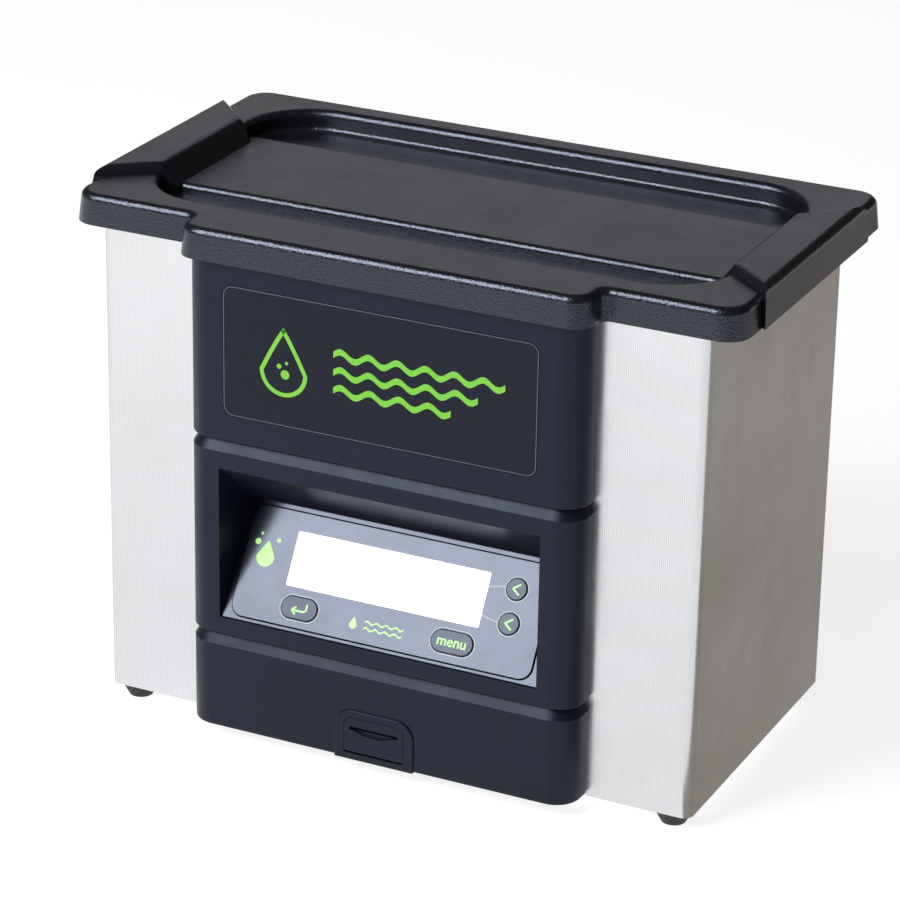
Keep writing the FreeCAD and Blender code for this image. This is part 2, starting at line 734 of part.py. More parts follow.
def build_lid():
    """Moulded lid: skirt, nose, pan with a raised floor, and a grip at each end."""
    lid = SketchedBody("lid")
    wall = D["lid_wall"]
    edge = D["lid_edge_radius"]
    front = FRONT - D["rim_reach"]
    tip = FRONT - D["nose_reach"]
    back = tip + D["overall_depth"]
    lid.pad(lid_outline(lid.level(CASING_TOP)), D["lid_height"], taper=D["lid_draft"])
    for x, y, radius in ((D["rim_half_width"], front, D["rim_corner"]),
                         (D["rim_half_width"], back, D["rim_corner"]),
                         (D["nose_half_width"], tip, D["nose_corner"]),
                         (D["nose_half_width"], front, size(4))):
        lid.fillet(radius, vertical_near(x, y))
    lid.fillet(edge, level_at(LID_TOP))

    trough = LID_TOP - D["pan_depth"]
    floor = trough + D["step_height"]
    step_front = FRONT + D["step_front"]
    step_back = FRONT + D["step_back"]
    lid.pocket(pan_outline(lid.level(LID_TOP)), D["pan_depth"])
    lid.fillet(edge, lambda item: level_at(LID_TOP)(item) and inside_pan(item))
    lid.fillet(size(2.6), level_at(trough))
    ridge = lid.section(-D["pan_half_width"] - 1)
    rounded_rectangle(ridge, step_front, step_back, CASING_TOP, floor, 2.8)
    lid.pad(ridge, D["pan_half_width"] * 2 + 2)
    grips = []
    base = lid.level(CASING_TOP)
    grip_plan(base, D["grip_inner_edge"], D["grip_half_width"], 19, 45, 115, 146)
    grips.append(lid.pad(base, floor - CASING_TOP))
    low = lid.level(floor)
    grip_plan(low, D["grip_inner_edge"], D["grip_half_width"], 19, 45, 115, 146)
    high = lid.level(LID_TOP + D["grip_height"])
    grip_plan(high, 142.5, D["grip_half_width"] - 1.4, 21.5, 41, 119, 143.5)
    grips.append(lid.loft(low, high))
    lid.mirror(grips)
    top = LID_TOP + D["grip_height"]
    for inner_end in (45, 115):
        lid.fillet(D["grip_corner"], vertical_near(D["grip_inner_edge"], FRONT + inner_end, 1.0))
    lid.fillet(D["grip_top_radius"], level_at(top))

    inner = lid.level(CASING_TOP)
    wide = D["rim_half_width"] - wall
    rounded_rectangle(inner, -wide, wide, front + wall, back - wall, D["rim_corner"] - wall)
    pan_outline(inner, -D["pan_floor"])
    lid.pocket(inner, D["lid_height"] - 3, forward=True)
    nose = lid.level(CASING_TOP)
    half_nose = D["nose_half_width"] - wall
    rounded_rectangle(nose, -half_nose, half_nose, tip + wall, front + wall + 10, D["nose_corner"] - wall)
    lid.pocket(nose, D["lid_height"] - 3, forward=True)
    below = pan_outline(lid.level(CASING_TOP), -D["pan_floor"] - 0.1)
    lid.pocket(below, trough - D["pan_floor"] - CASING_TOP, forward=True)
    raised = lid.level(trough - D["pan_floor"])
    rounded_rectangle(raised, -131, 131, step_front + 2.4, step_back - 2.4, 3)
    lid.pocket(raised, D["step_height"], forward=True)
    hollow = lid.level(LID_TOP - 3)
    for side in (-1, 1):
        ends = sorted((side * 146, side * 160))
        rounded_rectangle(hollow, ends[0], ends[1], FRONT + 40, FRONT + 124, 3)
    lid.pocket(hollow, D["grip_height"], forward=True)


# ---------------------------------------------------------------- fascia

def fascia_tray(label, low, high, beveled):
    """Make one fascia moulding: a shell that is open at the back."""
    moulding = SketchedBody(label)
    wide = D["fascia_half_width"]
    wall = D["fascia_wall"]
    moulding.pad(rectangle(moulding.level(low), -wide, wide, FASCIA_FRONT, FRONT), high - low)
    moulding.fillet(D["fascia_corner"], lambda edge: upright(edge) and edge.BoundBox.YMax < (FRONT - 1).value)
    if beveled:
        moulding.bevel(D["bevel_height"], D["bevel_depth"],
                       lambda edge: level_at(high)(edge) and edge.BoundBox.YMin < (FRONT - 1).value)
    moulding.fillet(size(1.2), lambda edge: level_at(low)(edge) and edge.BoundBox.YMin < (FRONT - 1).value)
    inside = moulding.level(low + wall)
    rounded_rectangle(inside, wall - wide, wide - wall, FASCIA_FRONT + wall, FRONT + 12,
                      D["fascia_corner"] - wall)
    moulding.pocket(inside, high - low - wall - D["bevel_height"], forward=True)
    return moulding


def screw_bosses(moulding, levels):
    """Add the bosses that take the screws from inside the casing."""
    bosses = moulding.facing(FRONT)
    for level in levels:
        for side in (-1, 1):
            circle(bosses, 3, side * FASCIA_SCREW_X, BOTTOM + level)
            circle(bosses, 1.5, side * FASCIA_SCREW_X, BOTTOM + level)
    moulding.pad(bosses, D["fascia_reach"] - D["fascia_wall"] + 0.1)


def build_fascia_top():
    """Upper moulding with a shallow seat for the blank label plate."""
    low = BOTTOM + D["upper_seam"] + D["fascia_gap"] / 2
    moulding = fascia_tray("fascia_top", low, BOTTOM + D["fascia_top_height"], False)
    half = D["label_half_width"]
    seat = moulding.facing(FASCIA_FRONT - 1)
    rounded_rectangle(seat, -half - 0.25, half + 0.25, BOTTOM + D["label_low"] - 0.25,
                      BOTTOM + D["label_high"] + 0.25, D["label_corner"] + 0.25)
    moulding.pocket(seat, D["label_thickness"] + 1)
    screw_bosses(moulding, FASCIA_SCREW_LEVELS[4:])
    plate = SketchedBody("label_plate")
    outline = plate.facing(FASCIA_FRONT + D["label_thickness"])
    rounded_rectangle(outline, -half, half, BOTTOM + D["label_low"], BOTTOM + D["label_high"],
                      D["label_corner"])
    plate.pad(outline, D["label_thickness"])


LONG_KEYS = (("key_enter", -42.0, 11.0, 18.6), ("key_menu", 35.8, 11.2, 21.0))
ROUND_KEYS = (("key_upper", 60.3, 41.0), ("key_lower", 60.5, 25.0))
ROUND_KEY_RADIUS = 5.1
STEM_RADIUS = 2.4
PLUNGER_RADIUS = 1.7


def key_outlines(drawing, growth):
    """Draw the outlines of all four keys, grown by a gap."""
    half = D["key_height"] / 2 + growth
    for name, across, up, width in LONG_KEYS:
        reach = width / 2 + size(growth)
        rounded_rectangle(drawing, across - reach, across + reach, up - half, up + half, half - 0.01)
    for name, across, up in ROUND_KEYS:
        circle(drawing, ROUND_KEY_RADIUS + size(growth), across, up)


def key_centres():
    """List every key as name, across, up."""
    return [(name, across, up) for name, across, up, width in LONG_KEYS] + list(ROUND_KEYS)


def build_fascia_middle():
    """Middle moulding with the control bay: a sloped panel under an overhanging ceiling."""
    low = BOTTOM + D["lower_seam"] + D["fascia_gap"] / 2
    high = BOTTOM + D["upper_seam"] - D["fascia_gap"] / 2
    moulding = fascia_tray("fascia_middle", low, high, True)
    wall = D["panel_wall"]
    half = D["bay_half_width"]
    head_y = SLOPE_Y + D["panel_length"] * SLOPE_COS
    head_z = SLOPE_Z + D["panel_length"] * SLOPE_SIN
    ceiling = BOTTOM + D["bay_high"]
    back_y = SLOPE_Y + wall * SLOPE_SIN
    back_z = SLOPE_Z - wall * SLOPE_COS
    hood = moulding.section(-half - wall)
    polygon(hood, ((FASCIA_FRONT + 1, SLOPE_Z - 3), (back_y, SLOPE_Z - 3), (back_y, back_z),
                   (head_y + wall * SLOPE_SIN, head_z - wall * SLOPE_COS), (head_y + 2, head_z + 3),
                   (FASCIA_FRONT + 1, ceiling + 3.4)))
    moulding.pad(hood, (half + wall) * 2)
    bay = moulding.section(half)
    polygon(bay, ((FASCIA_FRONT - 1, SLOPE_Z), (SLOPE_Y, SLOPE_Z), (head_y, head_z),
                  (FASCIA_FRONT, ceiling), (FASCIA_FRONT - 1, ceiling)))
    moulding.pocket(bay, half * 2)
    openings = moulding.slope()
    rounded_rectangle(openings, D["display_left"] - 1.6, D["display_right"] + 1.6,
                      D["display_low"] - 1.6, D["display_high"] + 1.6, 1)
    for name, across, up in key_centres():
        circle(openings, STEM_RADIUS + 0.2, across, up)
    moulding.pocket(openings, wall + 6)
    screw_bosses(moulding, FASCIA_SCREW_LEVELS[2:4])


def build_fascia_bottom():
    """Lower moulding with the raised arch and the opening for the drain hatch."""
    moulding = fascia_tray("fascia_bottom", BOTTOM, BOTTOM + D["lower_seam"] - D["fascia_gap"] / 2, True)
    arch_front = FASCIA_FRONT - D["arch_relief"]
    wide = D["arch_half_width"]
    top = BOTTOM + D["arch_height"]
    arch = moulding.facing(FASCIA_FRONT + 1)
    rounded_rectangle(arch, -wide, wide, BOTTOM - 20, top, 9)
    moulding.pad(arch, D["arch_relief"] + 1)
    below = rectangle(moulding.level(BOTTOM), -wide - 2, wide + 2, arch_front - 2, FRONT)
    moulding.pocket(below, 24)
    moulding.fillet(size(0.7), lambda edge: abs(edge.BoundBox.YMax - arch_front.value) < 0.01
                    and abs(edge.BoundBox.YMin - arch_front.value) < 0.01
                    and edge.BoundBox.ZMax > (BOTTOM + 1).value)
    gap = D["hatch_gap"]
    half = D["hatch_half_width"] + gap
    low = BOTTOM + D["hatch_low"] - gap
    for high, radius in ((BOTTOM + D["hatch_high"] + gap, D["hatch_corner"] + gap), (HINGE_Z + 4, 0.3)):
        opening = moulding.facing(arch_front - 1)
        rounded_rectangle(opening, -half, half, low, high, radius)
        moulding.pocket(opening, D["arch_relief"] + D["fascia_wall"] + 2)
    hinge = moulding.section(-half - 2.4)
    circle(hinge, D["pin_radius"] + 0.02, HINGE_Y, HINGE_Z)
    moulding.pocket(hinge, (half + 2.4) * 2, forward=True)
    screw_bosses(moulding, FASCIA_SCREW_LEVELS[:2])


HINGE_Y = FASCIA_FRONT - D["arch_relief"] + D["hinge_radius"]
HINGE_Z = BOTTOM + D["hatch_low"] + D["hinge_radius"]


def build_hatch():
    """Drain hatch with its knuckle and finger notch, and the hinge pin."""
    half = D["hatch_half_width"]
    face = FASCIA_FRONT - D["arch_relief"]
    high = BOTTOM + D["hatch_high"]
    leaf = rounded(box((-half, face, HINGE_Z), (half, face + D["hatch_thickness"], high)), D["hatch_corner"],
                   lambda edge: edge.BoundBox.YLength > 1 and edge.BoundBox.XLength < 1e-4
                   and edge.BoundBox.ZMin > (HINGE_Z + 1).value)
    knuckle = cylinder(D["hinge_radius"], half * 2, -half, HINGE_Y, HINGE_Z, ALONG_X)
    bore = cylinder(D["pin_radius"] + 0.05, half * 2, -half, HINGE_Y, HINGE_Z, ALONG_X)
    slot = box((-12.4, face - 1, high - 6.2), (12.4, face + 1.3, high - 4.4))
    scoop = cylinder(26, 3, 0, face - 1.6, high - 6.2 - 2.2 + 26, ALONG_Y)
    trimmed = DOC.addObject("Part::Common", "scoop")
    trimmed.Base = scoop
    trimmed.Tool = box((-12.4, face - 2, high - 9), (12.4, face + 1.3, high - 6.1))
    node(cut(fuse(leaf, knuckle), bore, slot, trimmed), "drain_hatch")
    pin_half = half + D["hatch_gap"] + 2.2
    node(cylinder(D["pin_radius"], pin_half * 2, -pin_half, HINGE_Y, HINGE_Z, ALONG_X), "hatch_pin")


def build_fascia_screws():
    """Screws from inside the casing into the bosses of the three mouldings."""
    screws = []
    for level in FASCIA_SCREW_LEVELS:
        for side in (-1, 1):
            place_x = side * FASCIA_SCREW_X
            inner = FRONT + D["gauge"]
            shank = cylinder(1.45, 10, place_x, inner - 10, BOTTOM + level, ALONG_Y)
            head = cylinder(2.9, 1.8, place_x, inner, BOTTOM + level, ALONG_Y)
            screws.append(fuse(shank, head))
    node(group(*screws), "fascia_screws")


# ---------------------------------------------------------------- control panel

def build_overlay():
    """Overlay plate on the slope and the clear window in it."""
    overlay = SketchedBody("control_overlay")
    outline = overlay.slope()
    half = D["overlay_half_width"]
    rounded_rectangle(outline, -half, half, D["overlay_low"], D["overlay_high"], D["overlay_corner"])
    rounded_rectangle(outline, D["display_left"], D["display_right"], D["display_low"], D["display_high"], 0.8)
    key_outlines(outline, D["key_gap"])
    overlay.pad(outline, D["overlay_thickness"])
    window = SketchedBody("display_window")
    pane = window.slope()
    rounded_rectangle(pane, D["display_left"] + 0.1, D["display_right"] - 0.1,
                      D["display_low"] + 0.1, D["display_high"] - 0.1, 0.7)
    window.pad(pane, D["overlay_thickness"] - 0.2)


def finish_key(name, cap, across, up):
    """Round a key's face and give it its stem with the plunger that enters the switch."""
    crown = D["overlay_thickness"] + D["key_rise"]
    seat = D["key_travel"] + 0.2
    crowned = rounded(cap, 0.5, outer_rim(crown))
    shoulder = -5.1
    tip = -7.0
    x, y, z = on_slope(across, up, shoulder)
    stem = cylinder(STEM_RADIUS, seat - shoulder, x, y, z, SLOPE_TURN)
    x, y, z = on_slope(across, up, tip)
    plunger = cylinder(PLUNGER_RADIUS, shoulder - tip, x, y, z, SLOPE_TURN)
    node(fuse(crowned, stem, plunger), name)


def build_keys():
    """Two long keys and two round keys, raised a little above the overlay."""
    crown = D["overlay_thickness"] + D["key_rise"]
    seat = D["key_travel"] + 0.2
    half = D["key_height"] / 2
    for name, across, up, width in LONG_KEYS:
        reach = size(width) / 2
        block = slope_box((across - reach, up - half, seat), (across + reach, up + half, crown))
        DOC.recompute()
        finish_key(name, rounded(block, half - 0.02, runs_out_of_slope), across, up)
    for name, across, up in ROUND_KEYS:
        x, y, z = on_slope(across, up, seat)
        cap = cylinder(ROUND_KEY_RADIUS, crown - seat, x, y, z, SLOPE_TURN)
        DOC.recompute()
        finish_key(name, cap, across, up)


def height_out_of_slope(point):
    """Tell how far a point stands out of the sloped panel's face."""
    return (SLOPE_Z.value - point.z) * -SLOPE_COS.value + (SLOPE_Y.value - point.y) * SLOPE_SIN.value


def runs_out_of_slope(edge):
    """Say whether a straight edge stands square to the sloped panel."""
    start, end = (vertex.Point for vertex in (edge.Vertexes[0], edge.Vertexes[-1]))
    rise = abs(height_out_of_slope(end) - height_out_of_slope(start))
    return rise > 0.5 and abs((end - start).Length - rise) < 1e-3


def outer_rim(crown):
    """Return a test for the edges round a key's front face."""
    def on_rim(edge):
        return all(abs(height_out_of_slope(vertex.Point) - crown.value) < 1e-3 for vertex in edge.Vertexes)
    return on_rim


def build_control_board():
    """Board and chips behind the slope, with the display, the key switches and the spacers."""
    under = -D["board_depth"]
    top = under + D["board_gauge"]
    board = slope_box((-70, 3, under), (70, 54, top))
    chips = [slope_box((-20, 8, under - 2), (-6, 22, under)), slope_box((4, 30, under - 3), (24, 38, under))]
    node(fuse(board, *chips), "control_board")
    module = slope_box((-58, 16.5, top), (52, 50, -3.2))
    glass = slope_box((D["display_left"] - 1.2, D["display_low"] - 1.2, -3.2),
                      (D["display_right"] + 1.2, D["display_high"] + 1.2, -0.3))
    node(fuse(module, glass), "display_module")
    switches = []
    for name, across, up in key_centres():
        case = slope_box((across - 3.1, up - 3.1, top), (across + 3.1, up + 3.1, -5.9))
        x, y, z = on_slope(across, up, -7.7)
        switches.append(cut(case, cylinder(1.75, 3, x, y, z, SLOPE_TURN)))
    node(group(*switches), "key_switches")
    spacers = []
    for across in (-66, 67.4):
        for up in (6, 51.5):
            x, y, z = on_slope(across, up, top)
            spacers.append(cylinder(2.2, -D["panel_wall"] - top, x, y, z, SLOPE_TURN))
    node(group(*spacers), "board_spacers")


# ---------------------------------------------------------------- drain

def build_drain():
    """Drain fitting in the tank floor, hose, valve with its knob, and the spout."""
    bush = fuse(cylinder(10, 1.5, 0, DRAIN_Y, TANK_FLOOR), cylinder(6, 11, 0, DRAIN_Y, TANK_FLOOR - 11),
                cylinder(5, 16, 0, DRAIN_Y, TANK_FLOOR - 27))
    node(cut(bush, cylinder(3.6, 30, 0, DRAIN_Y, TANK_FLOOR - 28)), "drain_bush")
    nut_low = TANK_UNDER - 5
    node(cut(hexagon(9.5, 5, 0, DRAIN_Y, nut_low), cylinder(6.05, 5, 0, DRAIN_Y, nut_low)), "drain_nut")
    valve_top = VALVE_Z + 9
    barb_top = valve_top + 18
    hose_top = TANK_FLOOR - 12
    node(tube(7.2, 5.05, hose_top - valve_top - 2, 0, DRAIN_Y, valve_top + 2), "drain_hose")
    clips = [tube(8.4, 7.25, 6, 0, DRAIN_Y, level) for level in (hose_top - 10, valve_top + 6)]
    node(group(*clips), "hose_clips")
    rear = DRAIN_Y + 8
    face = DRAIN_Y - 8
    knob_x = -7
    spout_x = 8
    block = box((-15, face, BASE_TOP), (15, rear, valve_top))
    barb = cylinder(5, barb_top - valve_top, 0, DRAIN_Y, valve_top)
    neck = cylinder(3.6, 6, knob_x, face - 6, VALVE_Z, ALONG_Y)
    body = cut(fuse(block, barb, neck), cylinder(3.4, barb_top - VALVE_Z, 0, DRAIN_Y, VALVE_Z),
               cylinder(2.05, 14, knob_x, face - 6, VALVE_Z, ALONG_Y),
               cylinder(2.6, 10, spout_x, face, VALVE_Z, ALONG_Y))
    node(body, "drain_valve")
    tip = FASCIA_FRONT + 4.6
    spout = fuse(cylinder(3.4, face - tip, spout_x, tip, VALVE_Z, ALONG_Y),
                 cone(3.4, 3.9, 3, spout_x, tip + 1, VALVE_Z, ALONG_Y),
                 cone(3.4, 3.9, 3, spout_x, tip + 6, VALVE_Z, ALONG_Y))
    node(cut(spout, cylinder(2.2, face - tip, spout_x, tip, VALVE_Z, ALONG_Y)), "drain_spout")
    spindle = cylinder(2, face + 5 - tip - 2, knob_x, tip + 2, VALVE_Z, ALONG_Y)
    hub = cylinder(3.2, 4, knob_x, tip + 1, VALVE_Z, ALONG_Y)
    wing = rounded(box((knob_x - 5.4, tip - 1.4, VALVE_Z - 1.7), (knob_x + 5.4, tip + 4, VALVE_Z + 1.7)), 1.2,
                   lambda edge: edge.BoundBox.YLength > 1)
    node(fuse(spindle, hub, wing), "drain_knob")


# ---------------------------------------------------------------- transducers and heating

def build_transducers():
    """Two bolted stacks under the tank: bell, electrodes, ceramic rings, back mass and bolt."""
    radius = D["transducer_radius"]
    bells = []
    rings = []
    tabs = []
    masses = []
    bolts = []
    for side in (-1, 1):
        x = D["transducer_offset"] * side
        level = TANK_UNDER - D["horn_height"]
        bell = cone(radius, radius + 5, D["horn_height"], x, TANK_MIDDLE, level)
        bells.append(cut(bell, cylinder(4.05, 13, x, TANK_MIDDLE, level)))
        for layer in range(5):
            thin = layer % 2 == 0
            height = D["tab_height"] if thin else D["ring_height"]
            level = level - height
            piece = tube(radius - (0.5 if thin else 0), 6.5, height, x, TANK_MIDDLE, level)
            (tabs if thin else rings).append(piece)
        level = level - D["mass_height"]
        masses.append(tube(radius, 4.1, D["mass_height"], x, TANK_MIDDLE, level))
        shank = TANK_UNDER - D["horn_height"] + 12 - level
        bolts.append(fuse(hexagon(7, 5.5, x, TANK_MIDDLE, level - 5.5), cylinder(4, shank, x, TANK_MIDDLE, level)))
    for label, pieces in (("transducer_bells", bells), ("ceramic_rings", rings), ("electrode_tabs", tabs),
                          ("back_masses", masses), ("transducer_bolts", bolts)):
        node(group(*pieces), label)


def build_heating():
    """Heater pads on the tank's end walls and the safety thermostat on its back wall."""
    wall = D["tank_width"] / 2 + D["deck_thickness"]
    low = TANK_FLOOR + 16
    near = TANK_MIDDLE - 38
    far = TANK_MIDDLE + 38
    pads = [box((wall, near, low), (wall + 1.5, far, low + 60)),
            box((-wall - 1.5, near, low), (-wall, far, low + 60))]
    node(group(*pads), "heater_pads")
    front = TANK_INSIDE_FRONT - D["deck_thickness"]
    disc = cylinder(8, 4, -60, front - 4, TANK_FLOOR + 55, ALONG_Y)
    case = cylinder(6, 5, -60, front - 9, TANK_FLOOR + 55, ALONG_Y)
    node(fuse(disc, case), "thermostat")


# ---------------------------------------------------------------- generator

BOARD_LEFT = 26
BOARD_RIGHT = 140
BOARD_NEAR = -40
BOARD_FAR = 74
PILLAR = 10


def build_generator():
    """Generator board on its pillars with heat sink, transistors, transformer and capacitors."""
    board_z = BASE_TOP + PILLAR
    top = board_z + D["board_gauge"]
    places = [(x, y) for x in (BOARD_LEFT + 6, BOARD_RIGHT - 6) for y in (BOARD_NEAR + 6, BOARD_FAR - 6)]
    board = box((BOARD_LEFT, BOARD_NEAR, board_z), (BOARD_RIGHT, BOARD_FAR, top))
    node(cut(board, *[cylinder(1.6, 4, x, y, board_z - 1) for x, y in places]), "generator_board")
    pillars = [cut(hexagon(3.4, PILLAR, x, y, BASE_TOP), cylinder(1.55, PILLAR, x, y, BASE_TOP)) for x, y in places]
    node(group(*pillars), "board_pillars")
    screws = [fuse(cylinder(1.5, 7, x, y, top - 7), cylinder(2.8, 1.8, x, y, top)) for x, y in places]
    node(group(*screws), "board_screws")

    sink = SketchedBody("heat_sink")
    left = 108
    sink.pad(rectangle(sink.level(top), left, left + 4, -26, 62), 42)
    fin = sink.pad(rectangle(sink.level(top), left + 4, left + 22, -26, -24), 42)
    fins = sink.body.newObject("PartDesign::LinearPattern", "fins")
    fins.Originals = [fin]
    fins.Direction = (sink.plane("Y_Axis"), [""])
    fins.Length = 86
    fins.Occurrences = 12
    sink.body.Tip = fins
    DOC.recompute()

    transistors = [box((left - 5, y, top + 6), (left, y + 15.6, top + 26)) for y in (-18, 10, 38)]
    node(group(*transistors), "power_transistors")
    core = cut(box((66, 14, top), (98, 50, top + 30)), box((72, 13, top + 7), (80, 51, top + 23)),
               box((84, 13, top + 7), (92, 51, top + 23)))
    node(core, "transformer_core")
    winding = cut(box((73, 8, top + 7.5), (91, 56, top + 22.5)), box((79.9, 13.9, top + 7), (84.1, 50.1, top + 23)))
    node(winding, "transformer_winding")
    capacitors = [cylinder(9, 30, 46, y, top) for y in (-24, -2, 20)]
    node(group(*capacitors), "capacitors")
    choke = DOC.addObject("Part::Torus", "choke")
    choke.Radius1 = 12
    choke.Radius2 = 4.6
    place(choke, 82, -18, top + 4.6)
    node(choke, "filter_choke")


# ---------------------------------------------------------------- rear fittings and wiring

def inlet_blades(x, z):
    """Make the three contact blades, which go through the back of the inlet."""
    return [box((x + across - 1, BACK - 32, z + up - 2), (x + across + 1, BACK - 3, z + up + 2))
            for across, up in ((-7, -2), (0, 3), (7, -2))]


def build_inlet():
    """Mains inlet with its blades, its fuse drawer and the fuse."""
    x = D["inlet_centre"]
    z = BOTTOM + D["inlet_level"]
    flange = box((x - 25, BACK, z - 18.5), (x + 25, BACK + 3, z + 12.5))
    body = box((x - 13.4, BACK - 24, z - 16), (x + 13.4, BACK, z + 10))
    socket = box((x - 11.8, BACK - 16, z - 7.8), (x + 11.8, BACK + 3, z + 7.8))
    drawer_well = box((x - 10.6, BACK - 21, z - 15), (x + 10.6, BACK + 3, z - 9))
    housing = cut(fuse(flange, body), socket, drawer_well, *inlet_blades(x, z),
                  *[cylinder(1.7, 5, x + side * 20, BACK - 1, z, ALONG_Y) for side in (-1, 1)])
    node(housing, "mains_inlet")
    node(group(*inlet_blades(x, z)), "inlet_pins")
    drawer = box((x - 10.4, BACK - 20.6, z - 14.8), (x + 10.4, BACK + 4.4, z - 9.2))
    trough = box((x - 3, BACK - 19, z - 13.9), (x + 3, BACK + 1, z - 8))
    node(cut(drawer, trough), "fuse_drawer")
    node(cylinder(2.4, 19.6, x, BACK - 18.8, z - 11.5, ALONG_Y), "fuse_link")


def build_switch():
    """Power switch: a snapped-in frame and its rocker, at rest in the off position."""
    x = D["switch_centre"]
    z = BOTTOM + D["inlet_level"]
    frame = fuse(box((x - 11.5, BACK, z - 8.2), (x + 11.5, BACK + 2, z + 8.2)),
                 box((x - 9.8, BACK - 20, z - 6.6), (x + 9.8, BACK, z + 6.6)))
    well = box((x - 8.4, BACK - 12, z - 5.6), (x + 8.4, BACK + 2, z + 5.6))
    pivot_y = BACK - 0.5
    bearing = cylinder(D["tilt_pivot_radius"] + 0.05, 12.4, x, pivot_y, z - 6.2)
    node(cut(frame, well, bearing), "switch_frame")
    rocker = SketchedBody("switch_rocker")
    profile = rocker.level(z - 5.4)
    tilt = math.radians(D["rocker_tilt"].value)
    half = D["rocker_half_width"].value
    corners = ((-half, -1.0), (0, -6.5), (half, -1.0), (half, 2.6), (0, 1.3), (-half, 2.6))
    turned = [(x + (u * math.cos(tilt) - v * math.sin(tilt)),
               pivot_y + (u * math.sin(tilt) + v * math.cos(tilt))) for u, v in corners]
    polygon(profile, turned)
    rocker.pad(profile, 10.8)
    trunnion = rocker.level(z - 6)
    circle(trunnion, D["tilt_pivot_radius"], x, pivot_y)
    rocker.pad(trunnion, 12)


def wire(points, radius, bend):
    """Hold one insulated wire as a feature of its own."""
    lead = DOC.addObject("Part::Feature", "wire")
    lead.Shape = bent_tube([Vector(*point) for point in points], radius, bend)
    return lead


def build_wiring():
    """Inside wiring, the earth stud and the blank rating plate."""
    rating = box((-20, BACK, BOTTOM + 95), (60, BACK + 0.5, BOTTOM + 145))
    node(rounded(rating, 3, lambda edge: edge.BoundBox.YLength > 0.3 and edge.BoundBox.ZLength < 1e-4),
         "rating_plate")
    stud = fuse(cylinder(2.5, 16, -60, 40, BASE_TOP), cylinder(5.5, 1, -60, 40, BASE_TOP))
    nut = cut(hexagon(4.6, 4, -60, 40, BASE_TOP + 2.5), cylinder(2.52, 4, -60, 40, BASE_TOP + 2.5))
    node(group(stud, nut), "earth_stud")
    inlet_x = D["inlet_centre"].value
    inlet_z = (BOTTOM + D["inlet_level"]).value
    tail_y = BACK.value - 33.5
    board_top = (BASE_TOP + PILLAR + D["board_gauge"]).value
    mains = [wire(((inlet_x + across, tail_y, inlet_z - 2), (inlet_x + across, 34 - spread, inlet_z - 2),
                   (inlet_x + 46, 26 - spread, 30 + spread), (20, 20 - spread, 34 + spread),
                   (33, 4 - spread, board_top + 1.4)), 1.3, 6)
             for across, spread in ((-7, 0), (7, 6))]
    bottom = (TANK_UNDER - D["horn_height"] - D["tab_height"] * 3 - D["ring_height"] * 2).value
    middle = TANK_MIDDLE.value
    reach = D["transducer_radius"].value
    left = -D["transducer_offset"].value
    drive = wire(((left, middle - reach - 1.6, bottom + 8), (left, middle - reach - 12, 90),
                   (left + 60, middle - reach - 14, 70), (60, -30, 62), (62, -34, board_top + 1.4)), 1.1, 5)
    node(group(drive, *mains), "wiring")


# ---------------------------------------------------------------- build and write

def check_document():
    """Stop if any feature failed or any sub-part is not a valid shape."""
    DOC.recompute()
    for owner in DOC.Objects:
        if "Invalid" in owner.State or "Error" in owner.State:
            raise RuntimeError("{} ({}) failed: {}".format(owner.Label, owner.Name, owner.State))
    for owner in NODES:
        if owner.Shape.isNull() or not owner.Shape.isValid():
            raise RuntimeError(owner.Label + " has no valid shape")


def write_parts():
    """Write every sub-part to its own STEP file."""
    os.makedirs("parts", exist_ok=True)
    for owner in NODES:
        owner.Shape.exportStep("parts/{}.step".format(owner.Label))
    print("{} sub-parts written".format(len(NODES)))


for build in (build_casing, build_base, build_feet, build_tank, build_lid, build_fascia_top,
              build_fascia_middle, build_fascia_bottom, build_hatch, build_fascia_screws, build_overlay,
              build_keys, build_control_board, build_drain, build_transducers, build_heating,
              build_generator, build_inlet, build_switch, build_wiring):
    build()
check_document()
write_parts()
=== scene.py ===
"""Visual model of a bench-top ultrasonic cleaner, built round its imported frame."""
import logging
import math
from contextlib import contextmanager
from dataclasses import dataclass, field
from enum import Enum
from typing import Callable, Iterator, Sequence

import bmesh
import bpy
from mathutils import Matrix, Vector


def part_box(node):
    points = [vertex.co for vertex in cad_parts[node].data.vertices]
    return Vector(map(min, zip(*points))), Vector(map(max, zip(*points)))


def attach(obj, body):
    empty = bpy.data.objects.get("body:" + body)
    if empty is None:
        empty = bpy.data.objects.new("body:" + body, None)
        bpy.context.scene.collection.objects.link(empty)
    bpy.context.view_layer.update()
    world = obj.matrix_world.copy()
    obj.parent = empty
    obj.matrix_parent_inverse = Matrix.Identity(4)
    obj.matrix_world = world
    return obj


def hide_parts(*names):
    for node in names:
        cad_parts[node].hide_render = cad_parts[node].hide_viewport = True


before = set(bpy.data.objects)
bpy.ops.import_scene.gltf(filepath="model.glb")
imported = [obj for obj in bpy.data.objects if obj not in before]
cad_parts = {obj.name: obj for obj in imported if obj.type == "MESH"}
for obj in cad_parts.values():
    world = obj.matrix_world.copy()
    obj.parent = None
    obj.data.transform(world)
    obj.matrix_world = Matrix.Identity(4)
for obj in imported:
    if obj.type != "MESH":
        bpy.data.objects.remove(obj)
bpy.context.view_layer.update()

log = logging.getLogger("cleaner")
MM = 0.001
HOUSING = "housing"
# The tint of the light that dark plastics and lacquers mirror.
COOL = (0.72, 0.8, 1.0, 1.0)
# How thick a print is, and how far its back lies under the face that carries it.
SKIN = 0.06 * MM
SUNK = -0.3 * SKIN
# A Mix node's sockets for colours, by number, since its other sockets share their names.
MIX_FIRST, MIX_SECOND, MIX_RESULT = 6, 7, 2
